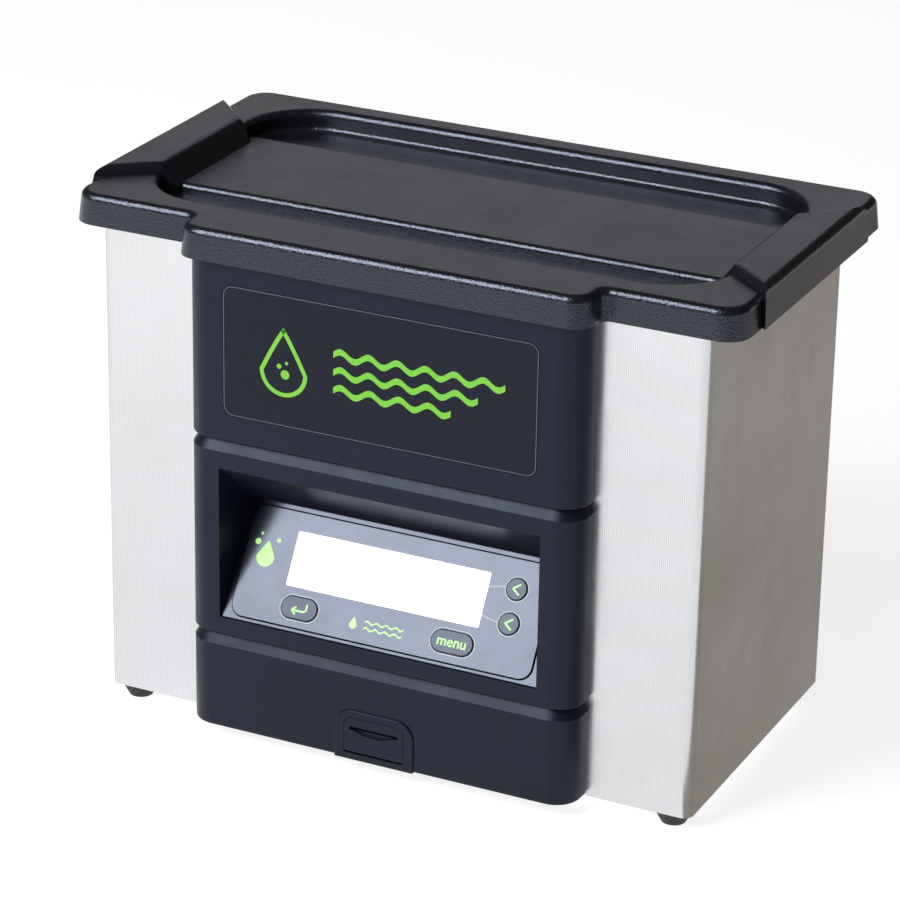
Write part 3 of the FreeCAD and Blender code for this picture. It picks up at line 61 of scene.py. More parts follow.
# How many bands a wave texture draws per metre at a scale of 1.
WAVE_BANDS = 3.18
Colour = tuple[float, float, float]
Socket = bpy.types.NodeSocket


# ---------------------------------------------------------------- node sheets

class Sheet:
    """A material's node tree with short ways to add the nodes used here."""

    def __init__(self, name: str) -> None:
        """Start a material that holds only its shader and its output.

        Args:
            name: the material's name.
        """
        self.material = bpy.data.materials.new(name)
        self.material.use_nodes = True
        self.nodes = self.material.node_tree.nodes
        self.links = self.material.node_tree.links
        self.shader = self.nodes["Principled BSDF"]
        self.place = self.nodes.new("ShaderNodeTexCoord").outputs["Object"]

    def put(self, socket: str, value: float | tuple | Socket) -> None:
        """Set or link one socket of the shader."""
        self.join(value, self.shader.inputs[socket])

    def join(self, value: float | tuple | Socket, target: Socket) -> None:
        """Link a socket to another, or set a plain value on it."""
        if isinstance(value, Socket):
            self.links.new(value, target)
        else:
            target.default_value = value

    def mapped(self, scale: Sequence[float] = (1, 1, 1)) -> Socket:
        """Return object coordinates, scaled along each axis."""
        node = self.nodes.new("ShaderNodeMapping")
        node.inputs["Scale"].default_value = scale
        self.links.new(self.place, node.inputs["Vector"])
        return node.outputs["Vector"]

    def noise(self, size: float, detail: float = 3.0, roughness: float = 0.5,
              stretch: Sequence[float] = (1, 1, 1)) -> Socket:
        """Return noise whose features are about size metres across.

        Args:
            size: the distance between features.
            detail: how many finer layers are added.
            roughness: how strong those layers are.
            stretch: how much denser the pattern is along each axis.

        Returns:
            The noise value, about 0.3 to 0.7 over most of a surface.
        """
        node = self.nodes.new("ShaderNodeTexNoise")
        node.inputs["Scale"].default_value = 1.0 / size
        node.inputs["Detail"].default_value = detail
        node.inputs["Roughness"].default_value = roughness
        self.links.new(self.mapped(stretch), node.inputs["Vector"])
        return node.outputs["Fac"]

    def cells(self, size: float) -> Socket:
        """Return rounded cells about size metres across, for pebble grain."""
        node = self.nodes.new("ShaderNodeTexVoronoi")
        node.feature = "SMOOTH_F1"
        node.inputs["Scale"].default_value = 1.0 / size
        node.inputs["Smoothness"].default_value = 0.6
        self.links.new(self.place, node.inputs["Vector"])
        return node.outputs["Distance"]

    def math(self, kind: str, first: float | Socket,
             second: float | Socket = 0.0) -> Socket:
        """Return the result of one Math node."""
        node = self.nodes.new("ShaderNodeMath")
        node.operation = kind
        self.join(first, node.inputs[0])
        self.join(second, node.inputs[1])
        return node.outputs[0]

    def spread(self, value: Socket, low: float, high: float,
               start: float = 0.3, end: float = 0.7) -> Socket:
        """Return value, stretched from start..end onto low..high."""
        node = self.nodes.new("ShaderNodeMapRange")
        self.links.new(value, node.inputs["Value"])
        for name, number in (("From Min", start), ("From Max", end), ("To Min", low), ("To Max", high)):
            node.inputs[name].default_value = number
        return node.outputs["Result"]

    def blend(self, factor: Socket, first: tuple | Socket,
              second: tuple | Socket) -> Socket:
        """Return a colour between two, by factor."""
        node = self.nodes.new("ShaderNodeMix")
        node.data_type = "RGBA"
        self.join(factor, node.inputs["Factor"])
        self.join(first, node.inputs[MIX_FIRST])
        self.join(second, node.inputs[MIX_SECOND])
        return node.outputs[MIX_RESULT]

    def bump(self, height: Socket, depth: float,
             under: Socket | None = None) -> Socket:
        """Return a normal raised by height times depth metres.

        Args:
            height: the pattern.
            depth: how far a height of 1 stands up, in metres.
            under: the normal of a coarser bump to add to.

        Returns:
            The bumped normal.
        """
        node = self.nodes.new("ShaderNodeBump")
        node.inputs["Strength"].default_value = 1.0
        node.inputs["Distance"].default_value = depth
        self.links.new(height, node.inputs["Height"])
        if under is not None:
            self.links.new(under, node.inputs["Normal"])
        return node.outputs["Normal"]


def opaque(colour: Sequence[float], factor: float = 1.0) -> tuple[float, ...]:
    """Return a colour with alpha 1, lightened or darkened by factor."""
    return tuple(min(1.0, part * factor) for part in colour[:3]) + (1.0,)


# ---------------------------------------------------------------- finishes

class Grain(Enum):
    """How coarse a moulding's spark-eroded grain is, as cell size in metres."""

    COARSE = 0.8 * MM
    MEDIUM = 0.55 * MM
    FINE = 0.3 * MM


@dataclass(frozen=True)
class Moulding:
    """Injection-moulded plastic with eroded grain, faint flow marks and handling shine."""

    name: str
    colour: Colour
    roughness: float = 0.45
    grain: Grain = Grain.FINE
    grain_depth: float = 0.02 * MM
    speckle: float = 0.12
    shine: float = 0.5

    def make(self) -> bpy.types.Material:
        """Build the material."""
        sheet = Sheet(self.name)
        pebble = sheet.cells(self.grain.value)
        fine = sheet.noise(self.grain.value * 0.6, 4.0, 0.6)
        cloud = sheet.noise(50 * MM, 4.0, 0.6)
        tint = sheet.blend(sheet.spread(cloud, 0.0, 1.0), opaque(self.colour, 0.88),
                           opaque(self.colour, 1.12))
        dots = sheet.spread(fine, 1.0 - self.speckle, 1.0 + self.speckle)
        shaded = sheet.nodes.new("ShaderNodeHueSaturation")
        sheet.join(tint, shaded.inputs["Color"])
        sheet.join(dots, shaded.inputs["Value"])
        sheet.put("Base Color", shaded.outputs["Color"])
        rubbed = sheet.noise(28 * MM, 5.0, 0.65)
        sheet.put("Roughness", sheet.spread(rubbed, self.roughness - 0.05, self.roughness + 0.06))
        sheet.put("Specular IOR Level", sheet.spread(fine, self.shine * (1.0 - self.speckle), self.shine))
        sheet.put("Specular Tint", COOL)
        coarse = sheet.bump(pebble, self.grain_depth)
        sheet.put("Normal", sheet.bump(fine, self.grain_depth * 0.4, coarse))
        return sheet.material


@dataclass(frozen=True)
class LinenSteel:
    """Stainless sheet rolled with a fine linen pattern, with painted shade on the casing's sides.

    The pattern repeats every across and down metres. Painted shade, warm and mottled by noise, lies on the
    casing's two sides, farther from the middle along X than the reach given below; the rest gets a faint
    share.
    """

    name: str
    colour: Colour
    # The colour of the sides' painted shade; at half strength, also the colour of the raised linen threads.
    shade_and_thread_colour: Colour
    across: float = 0.95 * MM
    down: float = 0.78 * MM
    roughness: float = 0.22
    depth: float = 0.004 * MM
    # Beyond this reach from the middle along X the painted shade of the sides is at full strength.
    shaded_beyond: float = 149.4 * MM

    def make(self) -> bpy.types.Material:
        """Build the material."""
        sheet = Sheet(self.name)
        split = sheet.nodes.new("ShaderNodeSeparateXYZ")
        sheet.links.new(sheet.place, split.inputs[0])
        along = sheet.math("ADD", split.outputs["X"], split.outputs["Y"])
        warp = sheet.math("SINE", sheet.math("MULTIPLY", along, 2 * math.pi / self.across))
        weft = sheet.math("SINE", sheet.math("MULTIPLY", split.outputs["Z"], 2 * math.pi / self.down))
        threads = sheet.math("MULTIPLY", sheet.math("MULTIPLY_ADD", warp, 0.5),
                             sheet.math("MULTIPLY_ADD", weft, 0.5))
        # Painted shade: the two side faces turn to the warm darker colour, mottled by noise; the rest of the
        # sheet gets a faint share.
        sides = sheet.spread(sheet.math("ABSOLUTE", split.outputs["X"]), 0.12, 1.0, self.shaded_beyond - MM,
                             self.shaded_beyond)
        smear = sheet.noise(90 * MM, 4.0, 0.55, (1.0, 1.0, 1.5))
        patch = sheet.noise(32 * MM, 3.0, 0.5, (1.0, 1.4, 0.8))
        smear_shaded = sheet.blend(sheet.math("MULTIPLY", sides, sheet.spread(smear, 0.0, 1.0, 0.35, 0.68)),
                            opaque(self.colour), opaque(self.shade_and_thread_colour))
        dark = sheet.blend(sheet.math("MULTIPLY", sides, sheet.spread(patch, 0.0, 0.4, 0.5, 0.75)),
                           smear_shaded, opaque(self.shade_and_thread_colour, 0.8))
        pressed = sheet.blend(sheet.spread(threads, 0.0, 0.75, 0.4, 0.9), dark, opaque(self.shade_and_thread_colour, 0.5))
        sheet.put("Base Color", pressed)
        sheet.put("Metallic", 1.0)
        sheet.put("Roughness", sheet.spread(patch, self.roughness - 0.05, self.roughness + 0.1))
        rolled = sheet.noise(20 * MM, 3.0, 0.5, (1.0, 1.0, 0.12))
        wavy = sheet.bump(rolled, 0.02 * MM)
        sheet.put("Normal", sheet.bump(threads, self.depth, wavy))
        return sheet.material


class Lay(Enum):
    """Which way the polishing or turning marks on a metal run, as pattern density per axis."""

    ALONG_X = (0.04, 1.0, 1.0)
    ALONG_Y = (1.0, 0.04, 1.0)
    ALONG_Z = (1.0, 1.0, 0.04)
    EVEN = (1.0, 1.0, 1.0)


@dataclass(frozen=True)
class Metal:
    """Bare, plated or turned metal with fine tool marks and uneven polish."""

    name: str
    colour: Colour
    roughness: float = 0.28
    lay: Lay = Lay.EVEN
    mark: float = 0.4 * MM
    depth: float = 0.006 * MM
    tarnish: float = 0.15

    def make(self) -> bpy.types.Material:
        """Build the material."""
        sheet = Sheet(self.name)
        marks = sheet.noise(self.mark, 4.0, 0.6, self.lay.value)
        cloud = sheet.noise(12 * MM, 4.0, 0.6)
        dull = opaque(self.colour, 1.0 - self.tarnish * 2.0)
        sheet.put("Base Color", sheet.blend(sheet.spread(cloud, 0.0, 1.0), opaque(self.colour), dull))
        sheet.put("Metallic", 1.0)
        sheet.put("Roughness", sheet.spread(marks, self.roughness - 0.08, self.roughness + 0.12))
        sheet.put("Normal", sheet.bump(marks, self.depth))
        return sheet.material


@dataclass(frozen=True)
class Elastomer:
    """Rubber or silicone: dull, dusty and very slightly uneven."""

    name: str
    colour: Colour
    roughness: float = 0.7
    dust: float = 0.25

    def make(self) -> bpy.types.Material:
        """Build the material."""
        sheet = Sheet(self.name)
        bloom = sheet.noise(6 * MM, 5.0, 0.65)
        pores = sheet.noise(0.35 * MM, 3.0, 0.5)
        dusty = tuple(part + (0.3 - part) * self.dust for part in self.colour)
        sheet.put("Base Color", sheet.blend(sheet.spread(bloom, 0.0, 1.0), opaque(self.colour),
                                            opaque(dusty)))
        sheet.put("Roughness", sheet.spread(bloom, self.roughness - 0.08, self.roughness + 0.1))
        sheet.put("Specular IOR Level", 0.4)
        sheet.put("Normal", sheet.bump(pores, 0.02 * MM))
        return sheet.material


@dataclass(frozen=True)
class Lacquer:
    """Smooth gloss film or plate with faint dust, fingerprints and orange peel."""

    name: str
    colour: Colour
    roughness: float = 0.12
    print_strength: float = 0.12
    peel: float = 0.008 * MM
    shine: float = 0.5

    def make(self) -> bpy.types.Material:
        """Build the material."""
        sheet = Sheet(self.name)
        touch = sheet.noise(16 * MM, 6.0, 0.7)
        dust = sheet.noise(0.5 * MM, 2.0, 0.5)
        lint = sheet.spread(dust, 0.0, 0.2, 0.68, 0.8)
        sheet.put("Base Color", sheet.blend(lint, opaque(self.colour), opaque((0.4, 0.42, 0.45))))
        sheet.put("Roughness", sheet.spread(touch, self.roughness, self.roughness + self.print_strength,
                                            0.4, 0.72))
        sheet.put("Specular IOR Level", self.shine)
        sheet.put("Specular Tint", COOL)
        wave = sheet.noise(3.0 * MM, 2.0, 0.5)
        sheet.put("Normal", sheet.bump(wave, self.peel))
        return sheet.material


@dataclass(frozen=True)
class Ink:
    """Screen-printed ink with a slightly broken surface; glow adds painted light to some of it."""

    name: str
    colour: Colour
    roughness: float = 0.5
    glow: float = 0.0
    shine: float = 0.5

    def make(self) -> bpy.types.Material:
        """Build the material."""
        sheet = Sheet(self.name)
        mesh = sheet.noise(0.4 * MM, 3.0, 0.6)
        sheet.put("Base Color", sheet.blend(sheet.spread(mesh, 0.0, 1.0), opaque(self.colour, 0.88),
                                            opaque(self.colour, 1.08)))
        sheet.put("Roughness", sheet.spread(mesh, self.roughness - 0.08, self.roughness + 0.08))
        sheet.put("Specular IOR Level", self.shine)
        # Painted light: the print gives off light of its own colour.
        if self.glow:
            sheet.put("Emission Color", opaque(self.colour))
            sheet.put("Emission Strength", self.glow)
        sheet.put("Normal", sheet.bump(mesh, 0.008 * MM))
        return sheet.material


@dataclass(frozen=True)
class ClearSheet:
    """Clear plastic window with a few faint smears."""

    name: str
    roughness: float = 0.04

    def make(self) -> bpy.types.Material:
        """Build the material."""
        sheet = Sheet(self.name)
        smear = sheet.noise(12 * MM, 5.0, 0.6)
        sheet.put("Base Color", (0.97, 0.98, 1.0, 1.0))
        sheet.put("Transmission Weight", 1.0)
        sheet.put("IOR", 1.35)
        sheet.put("Roughness", sheet.spread(smear, self.roughness, self.roughness + 0.05, 0.4, 0.7))
        return sheet.material


@dataclass(frozen=True)
class LitScreen:
    """Back-lit blank display: bright and faintly uneven, with a dimmer strip at its left end."""

    name: str
    colour: Colour
    glow: float
    strip_end: float = -48.6 * MM

    def make(self) -> bpy.types.Material:
        """Build the material."""
        sheet = Sheet(self.name)
        cloud = sheet.noise(40 * MM, 2.0, 0.4)
        split = sheet.nodes.new("ShaderNodeSeparateXYZ")
        sheet.links.new(sheet.place, split.inputs[0])
        inside = sheet.spread(split.outputs["X"], 0.0, 1.0, self.strip_end - 0.6 * MM, self.strip_end)
        even = sheet.blend(sheet.spread(cloud, 0.0, 1.0), opaque(self.colour, 0.97), opaque(self.colour))
        lit = sheet.blend(inside, opaque(self.colour, 0.86), even)
        sheet.put("Base Color", lit)
        sheet.put("Emission Color", lit)
        sheet.put("Emission Strength", self.glow)
        sheet.put("Roughness", sheet.spread(cloud, 0.28, 0.36))
        return sheet.material


@dataclass(frozen=True)
class BoardMask:
    """Circuit board under green solder mask, with tracks showing as slight relief."""

    name: str
    mask: Colour
    track: Colour
    pitch: float = 2.5 * MM

    def make(self) -> bpy.types.Material:
        """Build the material."""
        sheet = Sheet(self.name)
        grid = sheet.nodes.new("ShaderNodeTexVoronoi")
        grid.distance = "MANHATTAN"
        grid.inputs["Scale"].default_value = 1.0 / self.pitch
        sheet.links.new(sheet.place, grid.inputs["Vector"])
        tracks = sheet.spread(grid.outputs["Distance"], 0.0, 1.0, 0.42, 0.5)
        sheet.put("Base Color", sheet.blend(tracks, opaque(self.mask), opaque(self.track)))
        sheet.put("Roughness", sheet.spread(sheet.noise(10 * MM), 0.25, 0.4))
        sheet.put("Normal", sheet.bump(tracks, 0.03 * MM))
        return sheet.material


@dataclass(frozen=True)
class Winding:
    """Enamelled copper wire wound side by side."""

    name: str
    colour: Colour
    wire: float = 1.1 * MM

    def make(self) -> bpy.types.Material:
        """Build the material."""
        sheet = Sheet(self.name)
        turns = sheet.nodes.new("ShaderNodeTexWave")
        turns.bands_direction = "Y"
        turns.inputs["Scale"].default_value = 1.0 / self.wire / WAVE_BANDS
        sheet.links.new(sheet.place, turns.inputs["Vector"])
        ridge = turns.outputs["Fac"]
        sheet.put("Base Color", sheet.blend(ridge, opaque(self.colour, 0.45), opaque(self.colour)))
        sheet.put("Metallic", 0.75)
        sheet.put("Roughness", sheet.spread(sheet.noise(4 * MM), 0.25, 0.4))
        sheet.put("Normal", sheet.bump(ridge, 0.35 * MM))
        return sheet.material


FINISHES = {
    "lid": Moulding("lid_plastic", (0.009, 0.0095, 0.012), roughness=0.22, grain=Grain.COARSE,
                    grain_depth=0.1 * MM, speckle=0.35, shine=0.9),
    "fascia": Moulding("fascia_plastic", (0.0075, 0.0088, 0.018), roughness=0.38, shine=0.3),
    "black": Moulding("black_plastic", (0.009, 0.009, 0.010), roughness=0.4, grain=Grain.MEDIUM),
    "nylon": Moulding("nylon", (0.78, 0.76, 0.7), roughness=0.5, grain_depth=0.01 * MM),
    "rocker": Moulding("rocker_plastic", (0.012, 0.012, 0.014), roughness=0.22, grain_depth=0.004 * MM,
                       speckle=0.05),
    # The steel's second colour is the painted shade of the casing's sides, and the linen threads' colour.
    "steel": LinenSteel("linen_steel", (0.69, 0.695, 0.715), shade_and_thread_colour=(0.61, 0.595, 0.57)),
    "tank": Metal("tank_steel", (0.8, 0.8, 0.82), roughness=0.2, lay=Lay.ALONG_X, mark=0.5 * MM,
                  depth=0.004 * MM, tarnish=0.08),
    "zinc": Metal("zinc_plate", (0.68, 0.69, 0.7), roughness=0.3, mark=1.2 * MM, depth=0.008 * MM),
    "turned": Metal("turned_steel", (0.55, 0.55, 0.57), roughness=0.32, lay=Lay.ALONG_X, mark=0.5 * MM),
    "brass": Metal("brass", (0.72, 0.52, 0.22), roughness=0.26, lay=Lay.ALONG_Y, tarnish=0.2),
    "aluminium": Metal("aluminium", (0.75, 0.76, 0.78), roughness=0.34, lay=Lay.ALONG_Z, mark=0.5 * MM),
    "foil": Metal("rating_foil", (0.62, 0.62, 0.64), roughness=0.42, lay=Lay.ALONG_X, mark=0.3 * MM,
                  depth=0.004 * MM, tarnish=0.06),
    "foot": Elastomer("foot_rubber", (0.006, 0.007, 0.012), roughness=0.55, dust=0.015),
    "seal": Elastomer("foam_seal", (0.04, 0.04, 0.045), roughness=0.9),
    "hose": Elastomer("silicone_hose", (0.6, 0.6, 0.57), roughness=0.45, dust=0.1),
    "heater": Elastomer("heater_silicone", (0.55, 0.16, 0.04), roughness=0.6, dust=0.1),
    "wire": Elastomer("wire_insulation", (0.4, 0.06, 0.04), roughness=0.4, dust=0.05),
    "panel": Lacquer("panel_gloss", (0.007, 0.009, 0.016), roughness=0.19, print_strength=0.05, shine=0.68),
    "plate": Lacquer("label_plate", (0.0055, 0.0065, 0.011), roughness=0.36, print_strength=0.08,
                     peel=0.02 * MM, shine=0.27),
    "key": Lacquer("key_plastic", (0.009, 0.010, 0.016), roughness=0.22, print_strength=0.03, shine=0.45),
    "sleeve": Lacquer("capacitor_sleeve", (0.02, 0.05, 0.2), roughness=0.25),
    "ceramic": Lacquer("fired_ceramic", (0.46, 0.42, 0.35), roughness=0.45),
    "ferrite": Lacquer("ferrite", (0.04, 0.04, 0.043), roughness=0.55, print_strength=0.1, peel=0.05 * MM),
    "fuse": Lacquer("fuse_ceramic", (0.8, 0.79, 0.75), roughness=0.3),
    # The glow on the green, pale green and rim inks is painted light that brightens the print.
    "green": Ink("green_ink", (0.14, 0.44, 0.03), glow=0.25),
    "pale_green": Ink("pale_green_ink", (0.38, 0.68, 0.24), glow=0.6),
    # The line ink is the painted highlight along the label plate's edge.
    "line": Ink("edge_highlight_ink", (0.10, 0.11, 0.13), roughness=0.4),
    "rim": Ink("rim_ink", (0.5, 0.52, 0.56), roughness=0.4, glow=0.1),
    # Black for the rating plate's border line, and painted shade in the hatch's finger slot and over the gap
    # round the panel overlay.
    "ink_and_shade": Ink("black_ink_and_shade", (0.002, 0.002, 0.003), roughness=0.6, shine=0.02),
    "white": Ink("white_ink", (0.75, 0.75, 0.73), roughness=0.45),
    "window": ClearSheet("clear_window"),
    "screen": LitScreen("lit_screen", (0.93, 0.94, 0.97), glow=0.88),
    "board": BoardMask("solder_mask", (0.01, 0.1, 0.04), track=(0.03, 0.2, 0.08)),
    "copper": Winding("copper_winding", (0.62, 0.24, 0.08)),
}


class Shelf:
    """Makes each finish once and puts it on pieces."""

    def __init__(self) -> None:
        """Start with no material made."""
        self.made: dict[str, bpy.types.Material] = {}

    def get(self, finish: str) -> bpy.types.Material:
        """Return the material of a finish, made on first use."""
        if finish not in self.made:
            self.made[finish] = FINISHES[finish].make()
        return self.made[finish]

    def dress(self, piece: bpy.types.Object, finish: str) -> None:
        """Give a piece one finish all over."""
        material = self.get(finish)
        piece.data.materials.clear()
        piece.data.materials.append(material)

    def dress_nodes(self, plan: dict[str, str]) -> None:
        """Give CAD nodes their finishes.

        Args:
            plan: node name to finish name.
        """
        for name, finish in plan.items():
            self.dress(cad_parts[name], finish)
            log.info("node %s in %s", name, finish)


SHELF = Shelf()


# ---------------------------------------------------------------- modelling bench

def deselect() -> None:
    """Leave edit mode and select nothing."""
    if bpy.context.mode != "OBJECT":
        bpy.ops.object.mode_set(mode="OBJECT")
    bpy.ops.object.select_all(action="DESELECT")


def take(piece: bpy.types.Object) -> None:
    """Select one piece only and make it active."""
    deselect()
    piece.select_set(True)
    bpy.context.view_layer.objects.active = piece


def named(name: str) -> bpy.types.Object:
    """Name the piece just added and settle its place into its mesh."""
    piece = bpy.context.active_object
    piece.name = name
    piece.data.name = name
    bpy.ops.object.transform_apply(location=True, rotation=True, scale=True)
    return piece


@contextmanager
def editing(piece: bpy.types.Object, kind: str = "FACE") -> Iterator[None]:
    """Edit a piece's mesh with nothing selected at first.

    Args:
        piece: the piece.
        kind: VERT, EDGE or FACE.
    """
    take(piece)
    bpy.ops.object.mode_set(mode="EDIT")
    bpy.ops.mesh.select_mode(type=kind)
    bpy.ops.mesh.select_all(action="DESELECT")
    yield
    bpy.ops.object.mode_set(mode="OBJECT")


def choose(piece: bpy.types.Object, kind: str, test: Callable) -> None:
    """Select the elements in edit mode that pass a test.

    Args:
        piece: the piece in edit mode.
        kind: verts, edges or faces.
        test: takes one bmesh element and says whether to select it.
    """
    mesh = bmesh.from_edit_mesh(piece.data)
    for element in getattr(mesh, kind):
        element.select_set(bool(test(element)))
    mesh.select_flush_mode()
    bmesh.update_edit_mesh(piece.data)


def thicken(piece: bpy.types.Object, thickness: float) -> None:
    """Give a flat piece a thickness towards +Z."""
    take(piece)
    wall = piece.modifiers.new("wall", "SOLIDIFY")
    wall.thickness = thickness
    wall.offset = 1.0
    bpy.ops.object.modifier_apply(modifier=wall.name)


def soften(piece: bpy.types.Object, radius: float, segments: int = 3, angle: float = 40.0) -> None:
    """Round a piece's edges that are sharper than an angle in degrees."""
    take(piece)
    edge = piece.modifiers.new("edge", "BEVEL")
    edge.width = radius
    edge.segments = segments
    edge.limit_method = "ANGLE"
    edge.angle_limit = math.radians(angle)
    bpy.ops.object.modifier_apply(modifier=edge.name)
    bpy.ops.object.shade_smooth_by_angle(angle=math.radians(35))


def carve(piece: bpy.types.Object, tool: bpy.types.Object) -> None:
    """Cut a tool's shape out of a piece and throw the tool away."""
    take(piece)
    cut = piece.modifiers.new("cut", "BOOLEAN")
    cut.operation = "DIFFERENCE"
    cut.object = tool
    cut.solver = "EXACT"
    bpy.ops.object.modifier_apply(modifier=cut.name)
    bpy.data.objects.remove(tool)


def join(name: str, pieces: Sequence[bpy.types.Object]) -> bpy.types.Object:
    """Join pieces into one with a name."""
    deselect()
    for piece in pieces:
        piece.select_set(True)
    bpy.context.view_layer.objects.active = pieces[0]
    bpy.ops.object.join()
    pieces[0].name = name
    pieces[0].data.name = name
    return pieces[0]


def put_at(piece: bpy.types.Object, matrix: Matrix) -> bpy.types.Object:
    """Move a piece by a matrix and settle it into its mesh."""
    take(piece)
    piece.matrix_world = matrix
    bpy.ops.object.transform_apply(location=True, rotation=True, scale=True)
    return piece


def finish_piece(piece: bpy.types.Object, finish: str, body: str) -> bpy.types.Object:
    """Dress a new piece and let it ride on its body."""
    SHELF.dress(piece, finish)
    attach(piece, body)
    log.info("piece %s in %s on %s", piece.name, finish, body)
    return piece


def lay_print(name: str, drawing: bpy.types.Object, place: Matrix, finish: str,
              body: str = HOUSING) -> bpy.types.Object:
    """Turn a flat drawing into a closed film of print and lay it on a face.

    Args:
        name: the piece's name.
        drawing: the flat drawing, round the origin.
        place: the matrix that lays it on its face.
        finish: the finish's name.
        body: the body that it moves with.

    Returns:
        The finished piece.
    """
    thicken(drawing, SKIN)
    drawing.name = name
    return finish_piece(put_at(drawing, place), finish, body)


def flat_card(width: float, height: float, corner: float, segments: int = 8) -> bpy.types.Object:
    """Make a flat rectangle with round corners, centred on the origin."""
    deselect()
    bpy.ops.mesh.primitive_plane_add(size=1.0)
    card = named("card")
    take(card)
    bpy.ops.object.mode_set(mode="EDIT")
    bpy.ops.mesh.select_all(action="SELECT")
    bpy.ops.transform.resize(value=(width, height, 1.0))
    if corner > 0:
        bpy.ops.mesh.bevel(offset=corner, segments=segments, affect="VERTICES")
    bpy.ops.object.mode_set(mode="OBJECT")
    return card


def line_frame(width: float, height: float, corner: float, line: float) -> bpy.types.Object:
    """Make the outline of a rounded rectangle as a flat band that runs inside it."""
    card = flat_card(width, height, corner)
    with editing(card):
        bpy.ops.mesh.select_all(action="SELECT")
        bpy.ops.mesh.inset(thickness=line)
        bpy.ops.mesh.delete(type="FACE")
    return card


def flat_ring(radius: float, line: float, sides: int = 48) -> bpy.types.Object:
    """Make a flat ring that runs inside a circle."""
    deselect()
    bpy.ops.mesh.primitive_circle_add(vertices=sides, radius=radius, fill_type="NGON")
    ring = named("ring")
    with editing(ring):
        bpy.ops.mesh.select_all(action="SELECT")
        bpy.ops.mesh.inset(thickness=line)
        bpy.ops.mesh.delete(type="FACE")
    return ring


def flat_disc(radius: float, x: float = 0.0, y: float = 0.0, sides: int = 24) -> bpy.types.Object:
    """Make a flat disc."""
    deselect()
    bpy.ops.mesh.primitive_circle_add(vertices=sides, radius=radius, fill_type="NGON", location=(x, y, 0))
    return named("disc")


def flat_stroke(start: Sequence[float], end: Sequence[float], width: float) -> bpy.types.Object:
    """Make a flat straight stroke with round ends between two points."""
    run = Vector(end) - Vector(start)
    stroke = flat_card(run.length + width, width, width * 0.49, 5)
    middle = (Vector(start) + Vector(end)) / 2
    turn = Matrix.Rotation(math.atan2(run.y, run.x), 4, "Z")
    return put_at(stroke, Matrix.Translation((middle.x, middle.y, 0)) @ turn)


def flat_wave(left: float, right: float, level: float, rise: float, waves: int,
              width: float) -> bpy.types.Object:
    """Make a flat wavy band.

    Args:
        left: its left end.
        right: its right end.
        level: the height of its middle line.
        rise: how far it swings to either side.
        waves: how many full waves.
        width: the width of the band.

    Returns:
        The band.
    """
    deselect()
    bpy.ops.mesh.primitive_grid_add(x_subdivisions=waves * 16, y_subdivisions=1, size=1.0)
    band = named("wave")
    with editing(band, "VERT"):
        bpy.ops.mesh.select_all(action="SELECT")
        bpy.ops.transform.resize(value=(right - left, width, 1.0))
        bpy.ops.transform.translate(value=((left + right) / 2, level, 0))
        mesh = bmesh.from_edit_mesh(band.data)
        for vertex in mesh.verts:
            phase = (vertex.co.x - left) / (right - left) * waves * 2 * math.pi
            vertex.co.y += rise * math.sin(phase)
        bmesh.update_edit_mesh(band.data)
    return band


def flat_drop(radius: float, height: float) -> bpy.types.Object:
    """Make a flat water drop: a circle drawn out to a point at the top."""
    deselect()
    bpy.ops.mesh.primitive_circle_add(vertices=48, radius=radius, fill_type="NGON")
    drop = named("drop")
    with editing(drop, "VERT"):
        mesh = bmesh.from_edit_mesh(drop.data)
        for vertex in mesh.verts:
            if vertex.co.y > 0:
                lift = vertex.co.y / radius
                vertex.co.x *= (1.0 - lift) ** 0.35 * (1 - 0.25 * lift) if lift < 0.999 else 0.0
                vertex.co.y = height * lift ** 1.15
        bmesh.update_edit_mesh(drop.data)
    return drop


# ---------------------------------------------------------------- places

@dataclass(frozen=True)
class Face:
    """A flat working face: a point on it, its right and its up direction."""

    origin: Vector
    right: Vector
    up: Vector

    @property
    def out(self) -> Vector:
        """Return the direction that stands out of the face."""
        return self.right.cross(self.up)

    def matrix(self, across: float = 0.0, up: float = 0.0, out: float = 0.0) -> Matrix:
        """Return the matrix that lays a flat drawing on the face.

        Args:
            across: metres to the right of the origin.
            up: metres up from the origin.
            out: metres out of the face.

        Returns:
            The matrix.
        """
        place = self.origin + self.right * across + self.up * up + self.out * out
        columns = Matrix((self.right, self.up, self.out)).transposed().to_4x4()
        return Matrix.Translation(place) @ columns


RIGHT = Vector((1, 0, 0))
LEFT = Vector((-1, 0, 0))
UP = Vector((0, 0, 1))
PANEL_TILT = math.radians(59.0)
UP_SLOPE = Vector((0, math.cos(PANEL_TILT), math.sin(PANEL_TILT)))
OVERLAY_LOW, OVERLAY_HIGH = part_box("control_overlay")
OVERLAY_THICKNESS = 1.2 * MM
OVERLAY_START = 2.0 * MM


def slope_face() -> Face:
    """Return the face of the sloped panel, measured from the overlay's box.

    Returns:
        A face whose up direction runs up the slope from the bay's sill.
    """
    sill_y = OVERLAY_LOW.y - OVERLAY_START * math.cos(PANEL_TILT) + OVERLAY_THICKNESS * math.sin(PANEL_TILT)
    sill_z = OVERLAY_LOW.z - OVERLAY_START * math.sin(PANEL_TILT)
    return Face(Vector((0, sill_y, sill_z)), RIGHT, UP_SLOPE)


def slope_place(node: str) -> tuple[float, float]:
    """Return how far a node's middle is across and up the slope."""
    low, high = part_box(node)
    face = slope_face()
    middle = (low + high) / 2 - face.origin
    return middle.dot(face.right), middle.dot(face.up)


# ---------------------------------------------------------------- reading the frame

